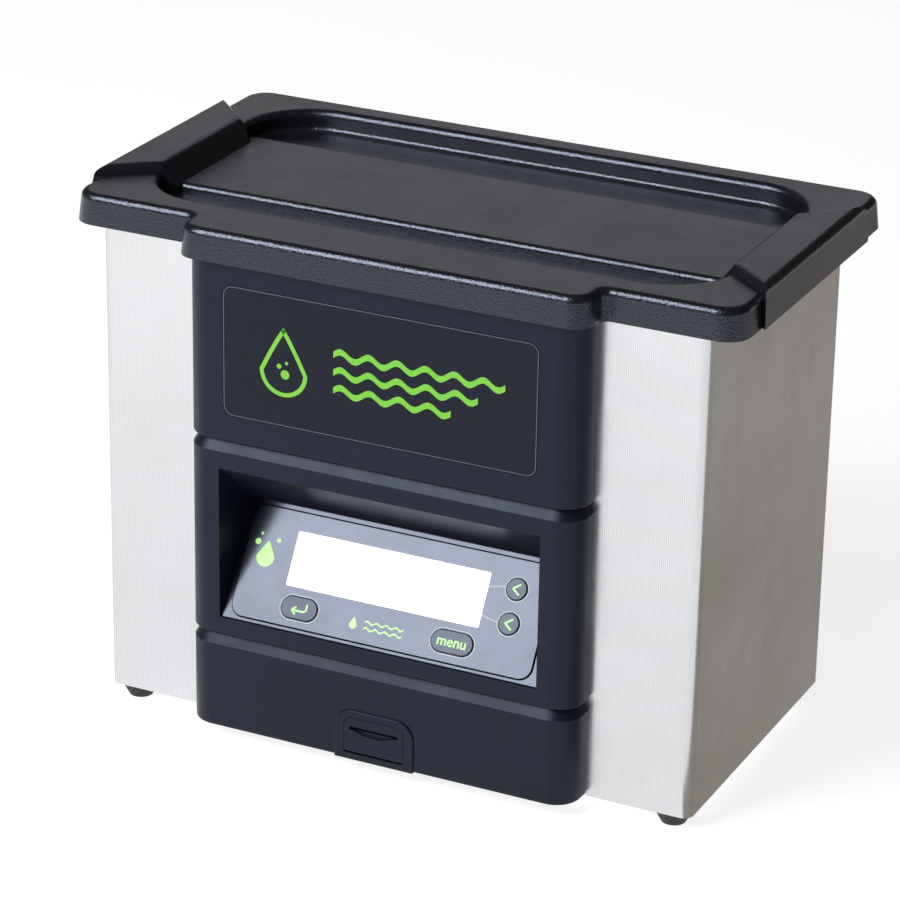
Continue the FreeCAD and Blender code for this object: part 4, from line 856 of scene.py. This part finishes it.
def solid_boxes(node: str) -> list[tuple[Vector, Vector]]:
    """Return the lowest and highest corner of each solid of a CAD node.

    Args:
        node: the node's name.

    Returns:
        One pair of corners per solid, in the order of their first vertex.
    """
    mesh = bmesh.new()
    mesh.from_mesh(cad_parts[node].data)
    bmesh.ops.remove_doubles(mesh, verts=mesh.verts, dist=0.001 * MM)
    seen: set = set()
    boxes = []
    for start in mesh.verts:
        if start in seen:
            continue
        seen.add(start)
        waiting = [start]
        group = []
        while waiting:
            vertex = waiting.pop()
            group.append(vertex.co.copy())
            for edge in vertex.link_edges:
                other = edge.other_vert(vertex)
                if other not in seen:
                    seen.add(other)
                    waiting.append(other)
        low = Vector([min(point[axis] for point in group) for axis in range(3)])
        high = Vector([max(point[axis] for point in group) for axis in range(3)])
        boxes.append((low, high))
    mesh.free()
    return boxes


# ---------------------------------------------------------------- fasteners

@dataclass
class Screws:
    """Pan-head screws with a cross recess, in place of a group of plain ones."""

    name: str
    node: str
    head_radius: float
    head_height: float
    shank_radius: float
    recess_reach: float = 1.2
    recess_width: float = 0.26
    spin: float = 0.7

    def make_screw(self, length: float) -> bpy.types.Object:
        """Model one screw: its head stands on the origin along +Z, its shank hangs under it."""
        deselect()
        bpy.ops.mesh.primitive_cylinder_add(vertices=32, radius=self.head_radius, depth=self.head_height,
                                            location=(0, 0, self.head_height / 2))
        screw = named("screw")
        with editing(screw):
            choose(screw, "faces", lambda face: face.normal.z < -0.9)
            bpy.ops.mesh.inset(thickness=self.head_radius - self.shank_radius)
            drop = self.head_height - length
            bpy.ops.mesh.extrude_region_move(TRANSFORM_OT_translate={"value": (0, 0, drop)})
        soften(screw, self.head_height * 0.3, 3)
        for turn in (0.0, math.pi / 2):
            deselect()
            bpy.ops.mesh.primitive_cube_add(
                size=1.0, location=(0, 0, self.head_height), rotation=(0, 0, turn),
                scale=(self.head_radius * self.recess_reach, self.head_radius * self.recess_width,
                       self.head_height))
            carve(screw, named("slot"))
        return screw

    def build(self) -> bpy.types.Object:
        """Set one screw where each plain one is.

        Returns:
            The joined piece.
        """
        copies = []
        for index, (low, high) in enumerate(solid_boxes(self.node)):
            size = high - low
            middle = (low + high) / 2
            if size.z > size.y:
                place = Vector((middle.x, middle.y, low.z + self.head_height))
                turn = Matrix.Rotation(math.pi, 4, "X")
                length = size.z
            else:
                place = Vector((middle.x, high.y - self.head_height, middle.z))
                turn = Matrix.Rotation(-math.pi / 2, 4, "X")
                length = size.y
            spin = Matrix.Rotation(self.spin * index, 4, "Z")
            copies.append(put_at(self.make_screw(length), Matrix.Translation(place) @ turn @ spin))
        group = finish_piece(join(self.name, copies), "zinc", HOUSING)
        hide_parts(self.node)
        return group


# ---------------------------------------------------------------- sub-assemblies

class Mark(Enum):
    """The symbol printed on a key."""

    ENTER = "enter"
    MENU = "menu"
    BACK = "back"


@dataclass
class Casing:
    """Steel casing with its base, feet, screws and rating plate."""

    border_inset: float = 2.0 * MM
    border_line: float = 0.5 * MM
    rivet_radius: float = 1.6 * MM
    rivet_inset: float = 5 * MM
    rivet_crown: float = 0.45

    def build(self) -> None:
        """Dress the casing's nodes and add its small pieces."""
        plan = {"casing_wrap": "steel", "base_plate": "zinc", "rating_plate": "foil"}
        plan.update({name: "foot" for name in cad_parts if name.startswith("rubber_foot")})
        SHELF.dress_nodes(plan)
        Screws("base_and_inlet_screws", "panel_screws", 3.0 * MM, 1.6 * MM, 1.6 * MM).build()
        Screws("foot_fixings", "foot_screws", 3.4 * MM, 2.2 * MM, 2.0 * MM).build()
        self.build_rivets()

    def build_rivets(self) -> None:
        """Add the rating plate's border and its four rivets."""
        low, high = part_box("rating_plate")
        face = Face((low + high) / 2, LEFT, UP)
        size = high - low
        border = line_frame(size.x - 2 * self.border_inset, size.z - 2 * self.border_inset, self.border_inset,
                            self.border_line)
        lay_print("rating_plate_border", border, face.matrix(0, 0, size.y / 2), "ink_and_shade")
        rivets = []
        for across in (-1, 1):
            for up in (-1, 1):
                deselect()
                bpy.ops.mesh.primitive_uv_sphere_add(segments=24, ring_count=12, radius=self.rivet_radius)
                rivet = named("rivet")
                with editing(rivet, "VERT"):
                    bpy.ops.mesh.select_all(action="SELECT")
                    bpy.ops.transform.resize(value=(1, 1, self.rivet_crown))
                    bpy.ops.mesh.bisect(plane_co=(0, 0, 0), plane_no=(0, 0, 1), use_fill=True,
                                        clear_inner=True)
                take(rivet)
                bpy.ops.object.shade_smooth_by_angle(angle=math.radians(35))
                place = face.matrix(across * (size.x / 2 - self.rivet_inset),
                                    up * (size.z / 2 - self.rivet_inset), size.y / 2)
                rivets.append(put_at(rivet, place))
        finish_piece(join("rating_plate_rivets", rivets), "aluminium", HOUSING)


@dataclass
class Lid:
    """The lift-off tray lid."""

    def build(self) -> None:
        """Dress the lid."""
        SHELF.dress_nodes({"lid": "lid"})


@dataclass
class Fascia:
    """Three fascia mouldings and the label plate with its plain mark."""

    drop_radius: float = 12.0 * MM
    drop_height: float = 33.0 * MM
    mark_across: float = -47.0 * MM
    wave_start: float = -22.0 * MM
    wave_length: float = 84.0 * MM
    wave_width: float = 3.0 * MM
    wave_rise: float = 1.7 * MM
    wave_top: float = 8.0 * MM
    wave_step: float = 8.5 * MM
    wave_shrink: float = 13.0 * MM
    waves: int = 6
    drop_line: float = 2.0 * MM
    drop_sink: float = 5.0 * MM
    bubbles: tuple[tuple[float, float, float], ...] = (
        (2.2 * MM, 0.8 * MM, -1.2 * MM), (1.2 * MM, -2.2 * MM, 2.4 * MM), (0.8 * MM, 1.6 * MM, 4.4 * MM))
    border_gap: float = 0.4 * MM
    border_corner: float = 4.8 * MM
    border_line: float = 0.35 * MM

    def build(self) -> None:
        """Dress the mouldings and print the label."""
        SHELF.dress_nodes({"fascia_top": "fascia", "fascia_middle": "fascia", "fascia_bottom": "fascia",
                           "label_plate": "plate", "fascia_screws": "zinc"})
        low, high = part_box("label_plate")
        face = Face(Vector((0, low.y, (low.z + high.z) / 2)), RIGHT, UP)
        self.build_edge_highlight(face, high - low)
        self.build_mark(face)

    def build_edge_highlight(self, face: Face, size: Vector) -> None:
        """Lay a fine lighter line along the plate's edge: painted highlight where the edge catches light."""
        border = line_frame(size.x - self.border_gap, size.z - self.border_gap, self.border_corner,
                            self.border_line)
        # Painted highlight: a lighter line along the plate's edge.
        lay_print("label_edge_highlight", border, face.matrix(0, 0, SUNK), "line")

    def build_mark(self, face: Face) -> None:
        """Print an outlined water drop with three bubbles in it and three ripples beside it."""
        outer = flat_drop(self.drop_radius, self.drop_height - self.drop_radius)
        with editing(outer):
            bpy.ops.mesh.select_all(action="SELECT")
            bpy.ops.mesh.inset(thickness=self.drop_line)
            bpy.ops.mesh.delete(type="FACE")
        pieces = [outer, *(flat_disc(*bubble) for bubble in self.bubbles)]
        for piece in pieces:
            put_at(piece, Matrix.Translation((self.mark_across, -self.drop_sink, 0)))
        for index in range(3):
            end = self.wave_start + self.wave_length - index * self.wave_shrink
            level = self.wave_top - index * self.wave_step
            pieces.append(flat_wave(self.wave_start, end, level, self.wave_rise, self.waves - index,
                                    self.wave_width))
        lay_print("label_mark", join("label_mark", pieces), face.matrix(0, 0, SUNK), "green")


@dataclass
class ControlPanel:
    """Sloped control panel: gloss margin, overlay print, lit display and the four keys."""

    margin_half_width: float = 80.2 * MM
    margin_low: float = 0.2 * MM
    margin_high: float = 57.0 * MM
    margin_thickness: float = 0.25 * MM
    overlay_corner: float = 6.0 * MM
    key_rise: float = 0.7 * MM
    rim_gap: float = 0.75 * MM
    rim_line: float = 0.3 * MM
    stroke: float = 0.85 * MM
    long_key_height: float = 10.6 * MM
    shade_line_width: float = 0.75 * MM
    opening_gap: float = 0.25 * MM
    screen_lap: float = 0.8 * MM
    screen_thickness: float = 0.2 * MM
    screen_depth: float = 0.28 * MM
    link_line: float = 0.35 * MM
    link_stop: float = 6.0 * MM
    word_size: float = 6.6 * MM
    word_weight: float = 0.11 * MM
    seat: float = 0.02 * MM
    link_lifts: tuple[tuple[str, float], ...] = (("key_upper", -1.3 * MM), ("key_lower", 1.2 * MM))
    emblem_place: tuple[float, float] = (-65.2 * MM, 31.0 * MM)
    emblem_size: tuple[float, float] = (4.6 * MM, 7.6 * MM)
    bubbles: tuple[tuple[float, float, float], ...] = (
        (1.5 * MM, -70.6 * MM, 37.4 * MM), (1.0 * MM, -60.4 * MM, 39.6 * MM),
        (0.7 * MM, -69.4 * MM, 41.4 * MM))
    sign_place: tuple[float, float] = (-14.0 * MM, 9.4 * MM)
    sign_size: tuple[float, float] = (1.9 * MM, 3.6 * MM)
    ripple_ends: tuple[float, float] = (-8.5 * MM, 11.0 * MM)
    ripple_levels: tuple[float, float] = (8.6 * MM, 11.6 * MM)
    ripple_rise: float = 0.55 * MM
    ripple_width: float = 0.8 * MM
    face: Face = field(default_factory=slope_face)
    keys: tuple[tuple[str, str, Mark], ...] = (
        ("key_enter", "enter_key", Mark.ENTER), ("key_menu", "menu_key", Mark.MENU),
        ("key_upper", "upper_key", Mark.BACK), ("key_lower", "lower_key", Mark.BACK))

    def build(self) -> None:
        """Dress the nodes and add the prints and the screen."""
        SHELF.dress_nodes({"control_overlay": "panel", "display_window": "window", "display_module": "black",
                           "control_board": "board", "key_switches": "black", "board_spacers": "nylon",
                           "key_enter": "key", "key_menu": "key", "key_upper": "key", "key_lower": "key"})
        self.build_margin()
        self.build_screen()
        self.build_rims()
        self.build_links()
        self.build_emblems()
        for node, body, mark in self.keys:
            self.build_glyph(node, body, mark)

    def overlay_size(self) -> tuple[float, float]:
        """Return the overlay's width and its length up the slope."""
        width = OVERLAY_HIGH.x - OVERLAY_LOW.x
        rise = OVERLAY_HIGH.z - OVERLAY_LOW.z - OVERLAY_THICKNESS * math.cos(PANEL_TILT)
        return width, rise / math.sin(PANEL_TILT)

    def build_margin(self) -> None:
        """Add the gloss surround, and a black line of painted shade over the gap round the overlay."""
        width, length = self.overlay_size()
        middle = OVERLAY_START + length / 2
        card = flat_card(self.margin_half_width * 2, self.margin_high - self.margin_low, 1.0 * MM)
        put_at(card, Matrix.Translation((0, (self.margin_low + self.margin_high) / 2, 0)))
        thicken(card, self.margin_thickness)
        opening = flat_card(width + 2 * self.opening_gap, length + 2 * self.opening_gap,
                            self.overlay_corner + self.opening_gap, 12)
        put_at(opening, Matrix.Translation((0, middle, -1.0 * MM)))
        thicken(opening, 3.0 * MM)
        carve(card, opening)
        card.name = "panel_margin"
        finish_piece(put_at(card, self.face.matrix(0, 0, self.seat)), "panel", HOUSING)
        # Painted shade: a black line laid over the gap between the overlay and the surround.
        ink_and_shade = line_frame(width + 2 * self.shade_line_width, length + 2 * self.shade_line_width,
                            self.overlay_corner + self.shade_line_width, self.shade_line_width)
        lay_print("overlay_shade_line", ink_and_shade, self.face.matrix(0, middle, self.margin_thickness), "ink_and_shade")

    def build_screen(self) -> None:
        """Add the lit sheet under the display window."""
        across, up = slope_place("display_window")
        low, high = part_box("display_window")
        width = high.x - low.x
        height = (high.z - low.z - OVERLAY_THICKNESS * math.cos(PANEL_TILT)) / math.sin(PANEL_TILT)
        screen = flat_card(width + 2 * self.screen_lap, height + 2 * self.screen_lap, self.screen_lap)
        thicken(screen, self.screen_thickness)
        screen.name = "display_screen"
        put_at(screen, self.face.matrix(across, up, -self.screen_depth))
        finish_piece(screen, "screen", HOUSING)

    def build_rims(self) -> None:
        """Print a fine line round each key."""
        rims = []
        for node, _, mark in self.keys:
            low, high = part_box(node)
            across, up = self.key_centre(node)
            if mark is Mark.BACK:
                rim = flat_ring((high.x - low.x) / 2 + self.rim_gap, self.rim_line)
            else:
                height = self.long_key_height + 2 * self.rim_gap
                rim = line_frame(high.x - low.x + 2 * self.rim_gap, height, height * 0.495, self.rim_line)
            rims.append(put_at(rim, Matrix.Translation((across, up, 0))))
        lay_print("key_rims", join("key_rims", rims), self.overlay_top(), "rim")

    def overlay_top(self) -> Matrix:
        """Return the matrix that lays a drawing on the overlay's face."""
        return self.face.matrix(0, 0, OVERLAY_THICKNESS + SUNK)

    def key_centre(self, node: str) -> tuple[float, float]:
        """Return a key's place across and up the slope, read from its front face."""
        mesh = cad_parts[node].data
        places = [vertex.co - self.face.origin for vertex in mesh.vertices]
        crown = max(place.dot(self.face.out) for place in places)
        front = [place for place in places if place.dot(self.face.out) > crown - self.seat]
        across = [place.dot(self.face.right) for place in front]
        up = [place.dot(self.face.up) for place in front]
        return (min(across) + max(across)) / 2, (min(up) + max(up)) / 2

    def build_links(self) -> None:
        """Print the two lines that join the display to the round keys."""
        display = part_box("display_window")[1].x
        strokes = []
        for node, lift in self.link_lifts:
            across, up = self.key_centre(node)
            start = (display + self.screen_lap, up + lift)
            strokes.append(flat_stroke(start, (across - self.link_stop, up - lift * 0.2), self.link_line))
        lay_print("display_links", join("display_links", strokes), self.overlay_top(), "rim")

    def build_emblems(self) -> None:
        """Print a drop with bubbles beside the display, and a small drop with ripples under it."""
        drop = put_at(flat_drop(*self.emblem_size), Matrix.Translation((*self.emblem_place, 0)))
        bubbles = [flat_disc(*bubble) for bubble in self.bubbles]
        small = put_at(flat_drop(*self.sign_size), Matrix.Translation((*self.sign_place, 0)))
        ripples = [flat_wave(*self.ripple_ends, level, self.ripple_rise, 4, self.ripple_width)
                   for level in self.ripple_levels]
        emblem = join("panel_emblems", [drop, small, *bubbles, *ripples])
        lay_print("panel_emblems", emblem, self.overlay_top(), "pale_green")

    def build_glyph(self, node: str, body: str, mark: Mark) -> None:
        """Print a key's symbol on its face.

        Args:
            node: the key's CAD node.
            body: the body that the key moves with.
            mark: which symbol.
        """
        if mark is Mark.MENU:
            glyph = self.menu_word()
        else:
            points = {
                Mark.ENTER: (((3.8, 2.2), (3.7, -0.4)), ((3.7, -0.4), (2.7, -1.2)),
                             ((2.7, -1.2), (-3.4, -1.2)), ((-3.4, -1.2), (-1.6, 0.4)),
                             ((-3.4, -1.2), (-1.6, -2.8))),
                Mark.BACK: (((1.5, 2.3), (-1.7, 0.0)), ((-1.7, 0.0), (1.5, -2.3))),
            }[mark]
            strokes = [flat_stroke([part * MM for part in start], [part * MM for part in end], self.stroke)
                       for start, end in points]
            glyph = join("glyph", strokes)
            thicken(glyph, SKIN)
        glyph.name = f"{node}_symbol"
        across, up = self.key_centre(node)
        out = OVERLAY_THICKNESS + self.key_rise + SUNK
        finish_piece(put_at(glyph, self.face.matrix(across, up, out)), "pale_green", body)

    def menu_word(self) -> bpy.types.Object:
        """Make the word on the menu key as thin raised print, centred on the origin."""
        deselect()
        bpy.ops.object.text_add()
        word = bpy.context.active_object
        word.data.body = "menu"
        word.data.align_x = "CENTER"
        word.data.align_y = "CENTER"
        word.data.size = self.word_size
        word.data.offset = self.word_weight
        word.data.extrude = SKIN / 2
        bpy.ops.object.convert(target="MESH")
        with editing(word, "VERT"):
            bpy.ops.mesh.select_all(action="SELECT")
            bpy.ops.mesh.remove_doubles(threshold=0.001 * MM)
            bpy.ops.transform.translate(value=(0, 0, SKIN / 2))
        return word


@dataclass
class DrainGate:
    """Drain hatch, its pin and the valve, hose and spout behind it."""

    strainer_radius: float = 9.0 * MM
    strainer_sheet: float = 0.6 * MM
    hole_radius: float = 0.9 * MM
    hole_rings: tuple[tuple[int, float], ...] = ((1, 0.0), (6, 3.0 * MM), (12, 6.0 * MM))
    slot_width: float = 24.6 * MM
    slot_height: float = 1.7 * MM
    slot_depth: float = 1.24 * MM
    slot_corner: float = 0.3 * MM
    slot_below_top: float = 5.3 * MM

    def build(self) -> None:
        """Dress the drain's nodes, add the strainer and lay painted shade in the hatch's slot."""
        SHELF.dress_nodes({"drain_hatch": "fascia", "hatch_pin": "zinc", "drain_bush": "tank",
                           "drain_nut": "brass", "drain_hose": "hose", "hose_clips": "zinc",
                           "drain_valve": "brass", "drain_spout": "brass", "drain_knob": "black"})
        self.build_strainer()
        self.build_slot()

    def build_slot(self) -> None:
        """Lay a black strip of painted shade at the back of the hatch's finger slot."""
        low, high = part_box("drain_hatch")
        # Painted shade: a black card where the slot lies in shadow.
        strip = flat_card(self.slot_width, self.slot_height, self.slot_corner)
        back = Face(Vector((0, low.y + self.slot_depth, high.z - self.slot_below_top)), RIGHT, UP)
        lay_print("hatch_slot_shade", strip, back.matrix(), "ink_and_shade", "hatch")

    def build_strainer(self) -> None:
        """Add the punched strainer on the drain bush."""
        low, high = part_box("drain_bush")
        deselect()
        bpy.ops.mesh.primitive_cylinder_add(vertices=48, radius=self.strainer_radius,
                                            depth=self.strainer_sheet)
        disc = named("drain_strainer")
        punches = []
        for count, reach in self.hole_rings:
            for index in range(count):
                angle = 2 * math.pi * index / count
                deselect()
                bpy.ops.mesh.primitive_cylinder_add(
                    vertices=16, radius=self.hole_radius, depth=3.0 * MM,
                    location=(reach * math.cos(angle), reach * math.sin(angle), 0))
                punches.append(named("punch"))
        carve(disc, join("punches", punches))
        middle = (low + high) / 2
        put_at(disc, Matrix.Translation((middle.x, middle.y, high.z + self.strainer_sheet / 2)))
        finish_piece(disc, "tank", HOUSING)


@dataclass
class RearPanel:
    """Mains inlet, fuse drawer and power switch with its on and off marks."""

    rocker_tilt: float = math.radians(9.0)
    half_slope: float = math.atan2(1.3, 7.6)
    pivot_depth: float = 0.5 * MM
    face_rise: float = 1.3 * MM
    mark_reach: float = 4.2 * MM
    bar_half: float = 1.6 * MM
    bar_width: float = 0.7 * MM
    ring_radius: float = 2.0 * MM
    ring_line: float = 0.6 * MM

    def build(self) -> None:
        """Dress the rear fittings and print the rocker's marks."""
        SHELF.dress_nodes({"mains_inlet": "black", "inlet_pins": "brass", "fuse_drawer": "black",
                           "fuse_link": "fuse", "switch_frame": "black", "switch_rocker": "rocker"})
        low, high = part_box("switch_frame")
        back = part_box("casing_wrap")[1].y
        pivot = Vector(((low.x + high.x) / 2, back - self.pivot_depth, (low.z + high.z) / 2))
        bar = flat_stroke((0, -self.bar_half), (0, self.bar_half), self.bar_width)
        ring = flat_ring(self.ring_radius, self.ring_line, 32)
        start = Matrix.Rotation(self.rocker_tilt, 3, "Z") @ Vector((0, self.face_rise, 0))
        for name, drawing, side in (("rocker_on_mark", bar, -1), ("rocker_off_mark", ring, 1)):
            slope = self.rocker_tilt + side * self.half_slope
            along = Vector((math.cos(slope), math.sin(slope), 0))
            face = Face(pivot + start + along * (side * self.mark_reach), -along, UP)
            lay_print(name, drawing, face.matrix(0, 0, SUNK), "white", "rocker")


@dataclass
class Works:
    """Tank, transducers, heating, generator and wiring inside the casing."""

    def build(self) -> None:
        """Dress every inner node."""
        SHELF.dress_nodes({
            "tank": "tank", "tank_seal": "seal", "transducer_bells": "aluminium", "ceramic_rings": "ceramic",
            "electrode_tabs": "brass", "back_masses": "turned", "transducer_bolts": "zinc",
            "heater_pads": "heater", "thermostat": "black", "generator_board": "board",
            "board_pillars": "brass", "board_screws": "zinc", "heat_sink": "aluminium",
            "power_transistors": "black", "transformer_core": "ferrite", "transformer_winding": "copper",
            "capacitors": "sleeve", "filter_choke": "copper", "earth_stud": "brass", "wiring": "wire"})


# ---------------------------------------------------------------- studio

@dataclass(frozen=True)
class SoftBox:
    """One square studio lamp aimed at the object."""

    name: str
    place: tuple[float, float, float]
    size: float
    radiance: float
    colour: Colour = (1.0, 1.0, 1.0)
    aim: tuple[float, float, float] = (0.0, 0.0, 0.13)

    def hang(self) -> None:
        """Add the lamp."""
        deselect()
        bpy.ops.object.light_add(type="AREA", location=self.place)
        lamp = bpy.context.active_object
        lamp.name = self.name
        lamp.data.size = self.size
        lamp.data.energy = self.radiance * math.pi * self.size ** 2
        lamp.visible_camera = False
        lamp.data.color = self.colour
        direction = Vector(self.aim) - Vector(self.place)
        lamp.rotation_euler = direction.to_track_quat("-Z", "Y").to_euler()


@dataclass
class Studio:
    """Pale floor, soft lamps and the camera."""

    azimuth: float = math.radians(25.508)
    elevation: float = math.radians(22.911)
    roll: float = math.radians(1.017)
    stand: tuple[float, float, float] = (0.7066, -1.4994, 0.8289)
    lens: float = 153.87
    floor_size: float = 14.0
    card: tuple[float, float, float, float] = (0.1503, 1.0, -0.12, 1.3)
    world_glow: float = 0.05
    floor_glow: float = 0.82

    def build(self) -> None:
        """Set up the floor, the lamps, the surroundings and the camera."""
        self.lay_floor()
        self.lay_card()
        for lamp in (
                SoftBox("key_box", (-0.82, -1.36, 1.42), 1.15, 11.0, (0.98, 0.99, 1.0)),
                SoftBox("back_box", (-0.85, 1.8, 1.1), 1.2, 0.42)):
            lamp.hang()
        self.light_surroundings()
        self.place_camera()

    def lay_floor(self) -> None:
        """Lay the pale floor."""
        deselect()
        bpy.ops.mesh.primitive_plane_add(size=self.floor_size)
        floor = named("studio_floor")
        sheet = Sheet("studio_paper")
        tone = sheet.spread(sheet.noise(600 * MM), 0.0, 1.0)
        sheet.put("Base Color", sheet.blend(tone, (0.38, 0.38, 0.38, 1.0), (0.4, 0.4, 0.4, 1.0)))
        sheet.put("Roughness", 0.9)
        sheet.put("Emission Color", (1.0, 1.0, 1.0, 1.0))
        sheet.put("Emission Strength", self.floor_glow)
        floor.data.materials.append(sheet.material)

    def lay_card(self) -> None:
        """Lay the dim card that the casing's right side mirrors; nothing else sees it."""
        deselect()
        left, right, front, back = self.card
        bpy.ops.mesh.primitive_plane_add(size=1.0)
        card = named("studio_card")
        middle = Vector(((left + right) / 2, (front + back) / 2, 0.002))
        stretch = Matrix.Diagonal((right - left, back - front, 1.0, 1.0))
        card.data.transform(Matrix.Translation(middle) @ stretch)
        sheet = Sheet("studio_card_paper")
        tone = sheet.spread(sheet.noise(250 * MM), 0.0, 1.0)
        sheet.put("Base Color", (0.01, 0.01, 0.01, 1.0))
        sheet.put("Roughness", 0.9)
        sheet.put("Emission Color", sheet.blend(tone, (0.36, 0.34, 0.32, 1.0), (0.30, 0.27, 0.24, 1.0)))
        sheet.put("Emission Strength", 1.0)
        card.data.materials.append(sheet.material)
        for sight in ("visible_camera", "visible_diffuse", "visible_shadow", "visible_transmission"):
            setattr(card, sight, False)

    def light_surroundings(self) -> None:
        """Give the scene an even, very pale surrounding."""
        world = bpy.data.worlds.new("studio_air")
        world.use_nodes = True
        backdrop = world.node_tree.nodes["Background"]
        backdrop.inputs["Color"].default_value = (1.0, 1.0, 1.0, 1.0)
        backdrop.inputs["Strength"].default_value = self.world_glow
        bpy.context.scene.world = world

    def place_camera(self) -> None:
        """Stand the camera and make it the scene's camera."""
        deselect()
        bpy.ops.object.camera_add(location=self.stand)
        camera = bpy.context.active_object
        camera.name = "studio_camera"
        camera.data.lens = self.lens
        camera.data.clip_end = 50.0
        turn = (Matrix.Rotation(self.azimuth, 3, "Z") @ Matrix.Rotation(math.pi / 2 - self.elevation, 3, "X")
                @ Matrix.Rotation(self.roll, 3, "Z"))
        camera.rotation_euler = turn.to_euler()
        bpy.context.scene.camera = camera
        bpy.context.scene.view_settings.view_transform = "Standard"


def main() -> None:
    """Build the object and its studio."""
    logging.basicConfig(level=logging.INFO, format="%(name)s: %(message)s")
    for part in (Casing(), Lid(), Fascia(), ControlPanel(), DrainGate(), RearPanel(), Works(), Studio()):
        log.info("building %s", type(part).__name__)
        part.build()


if __name__ == "__main__":
    main()
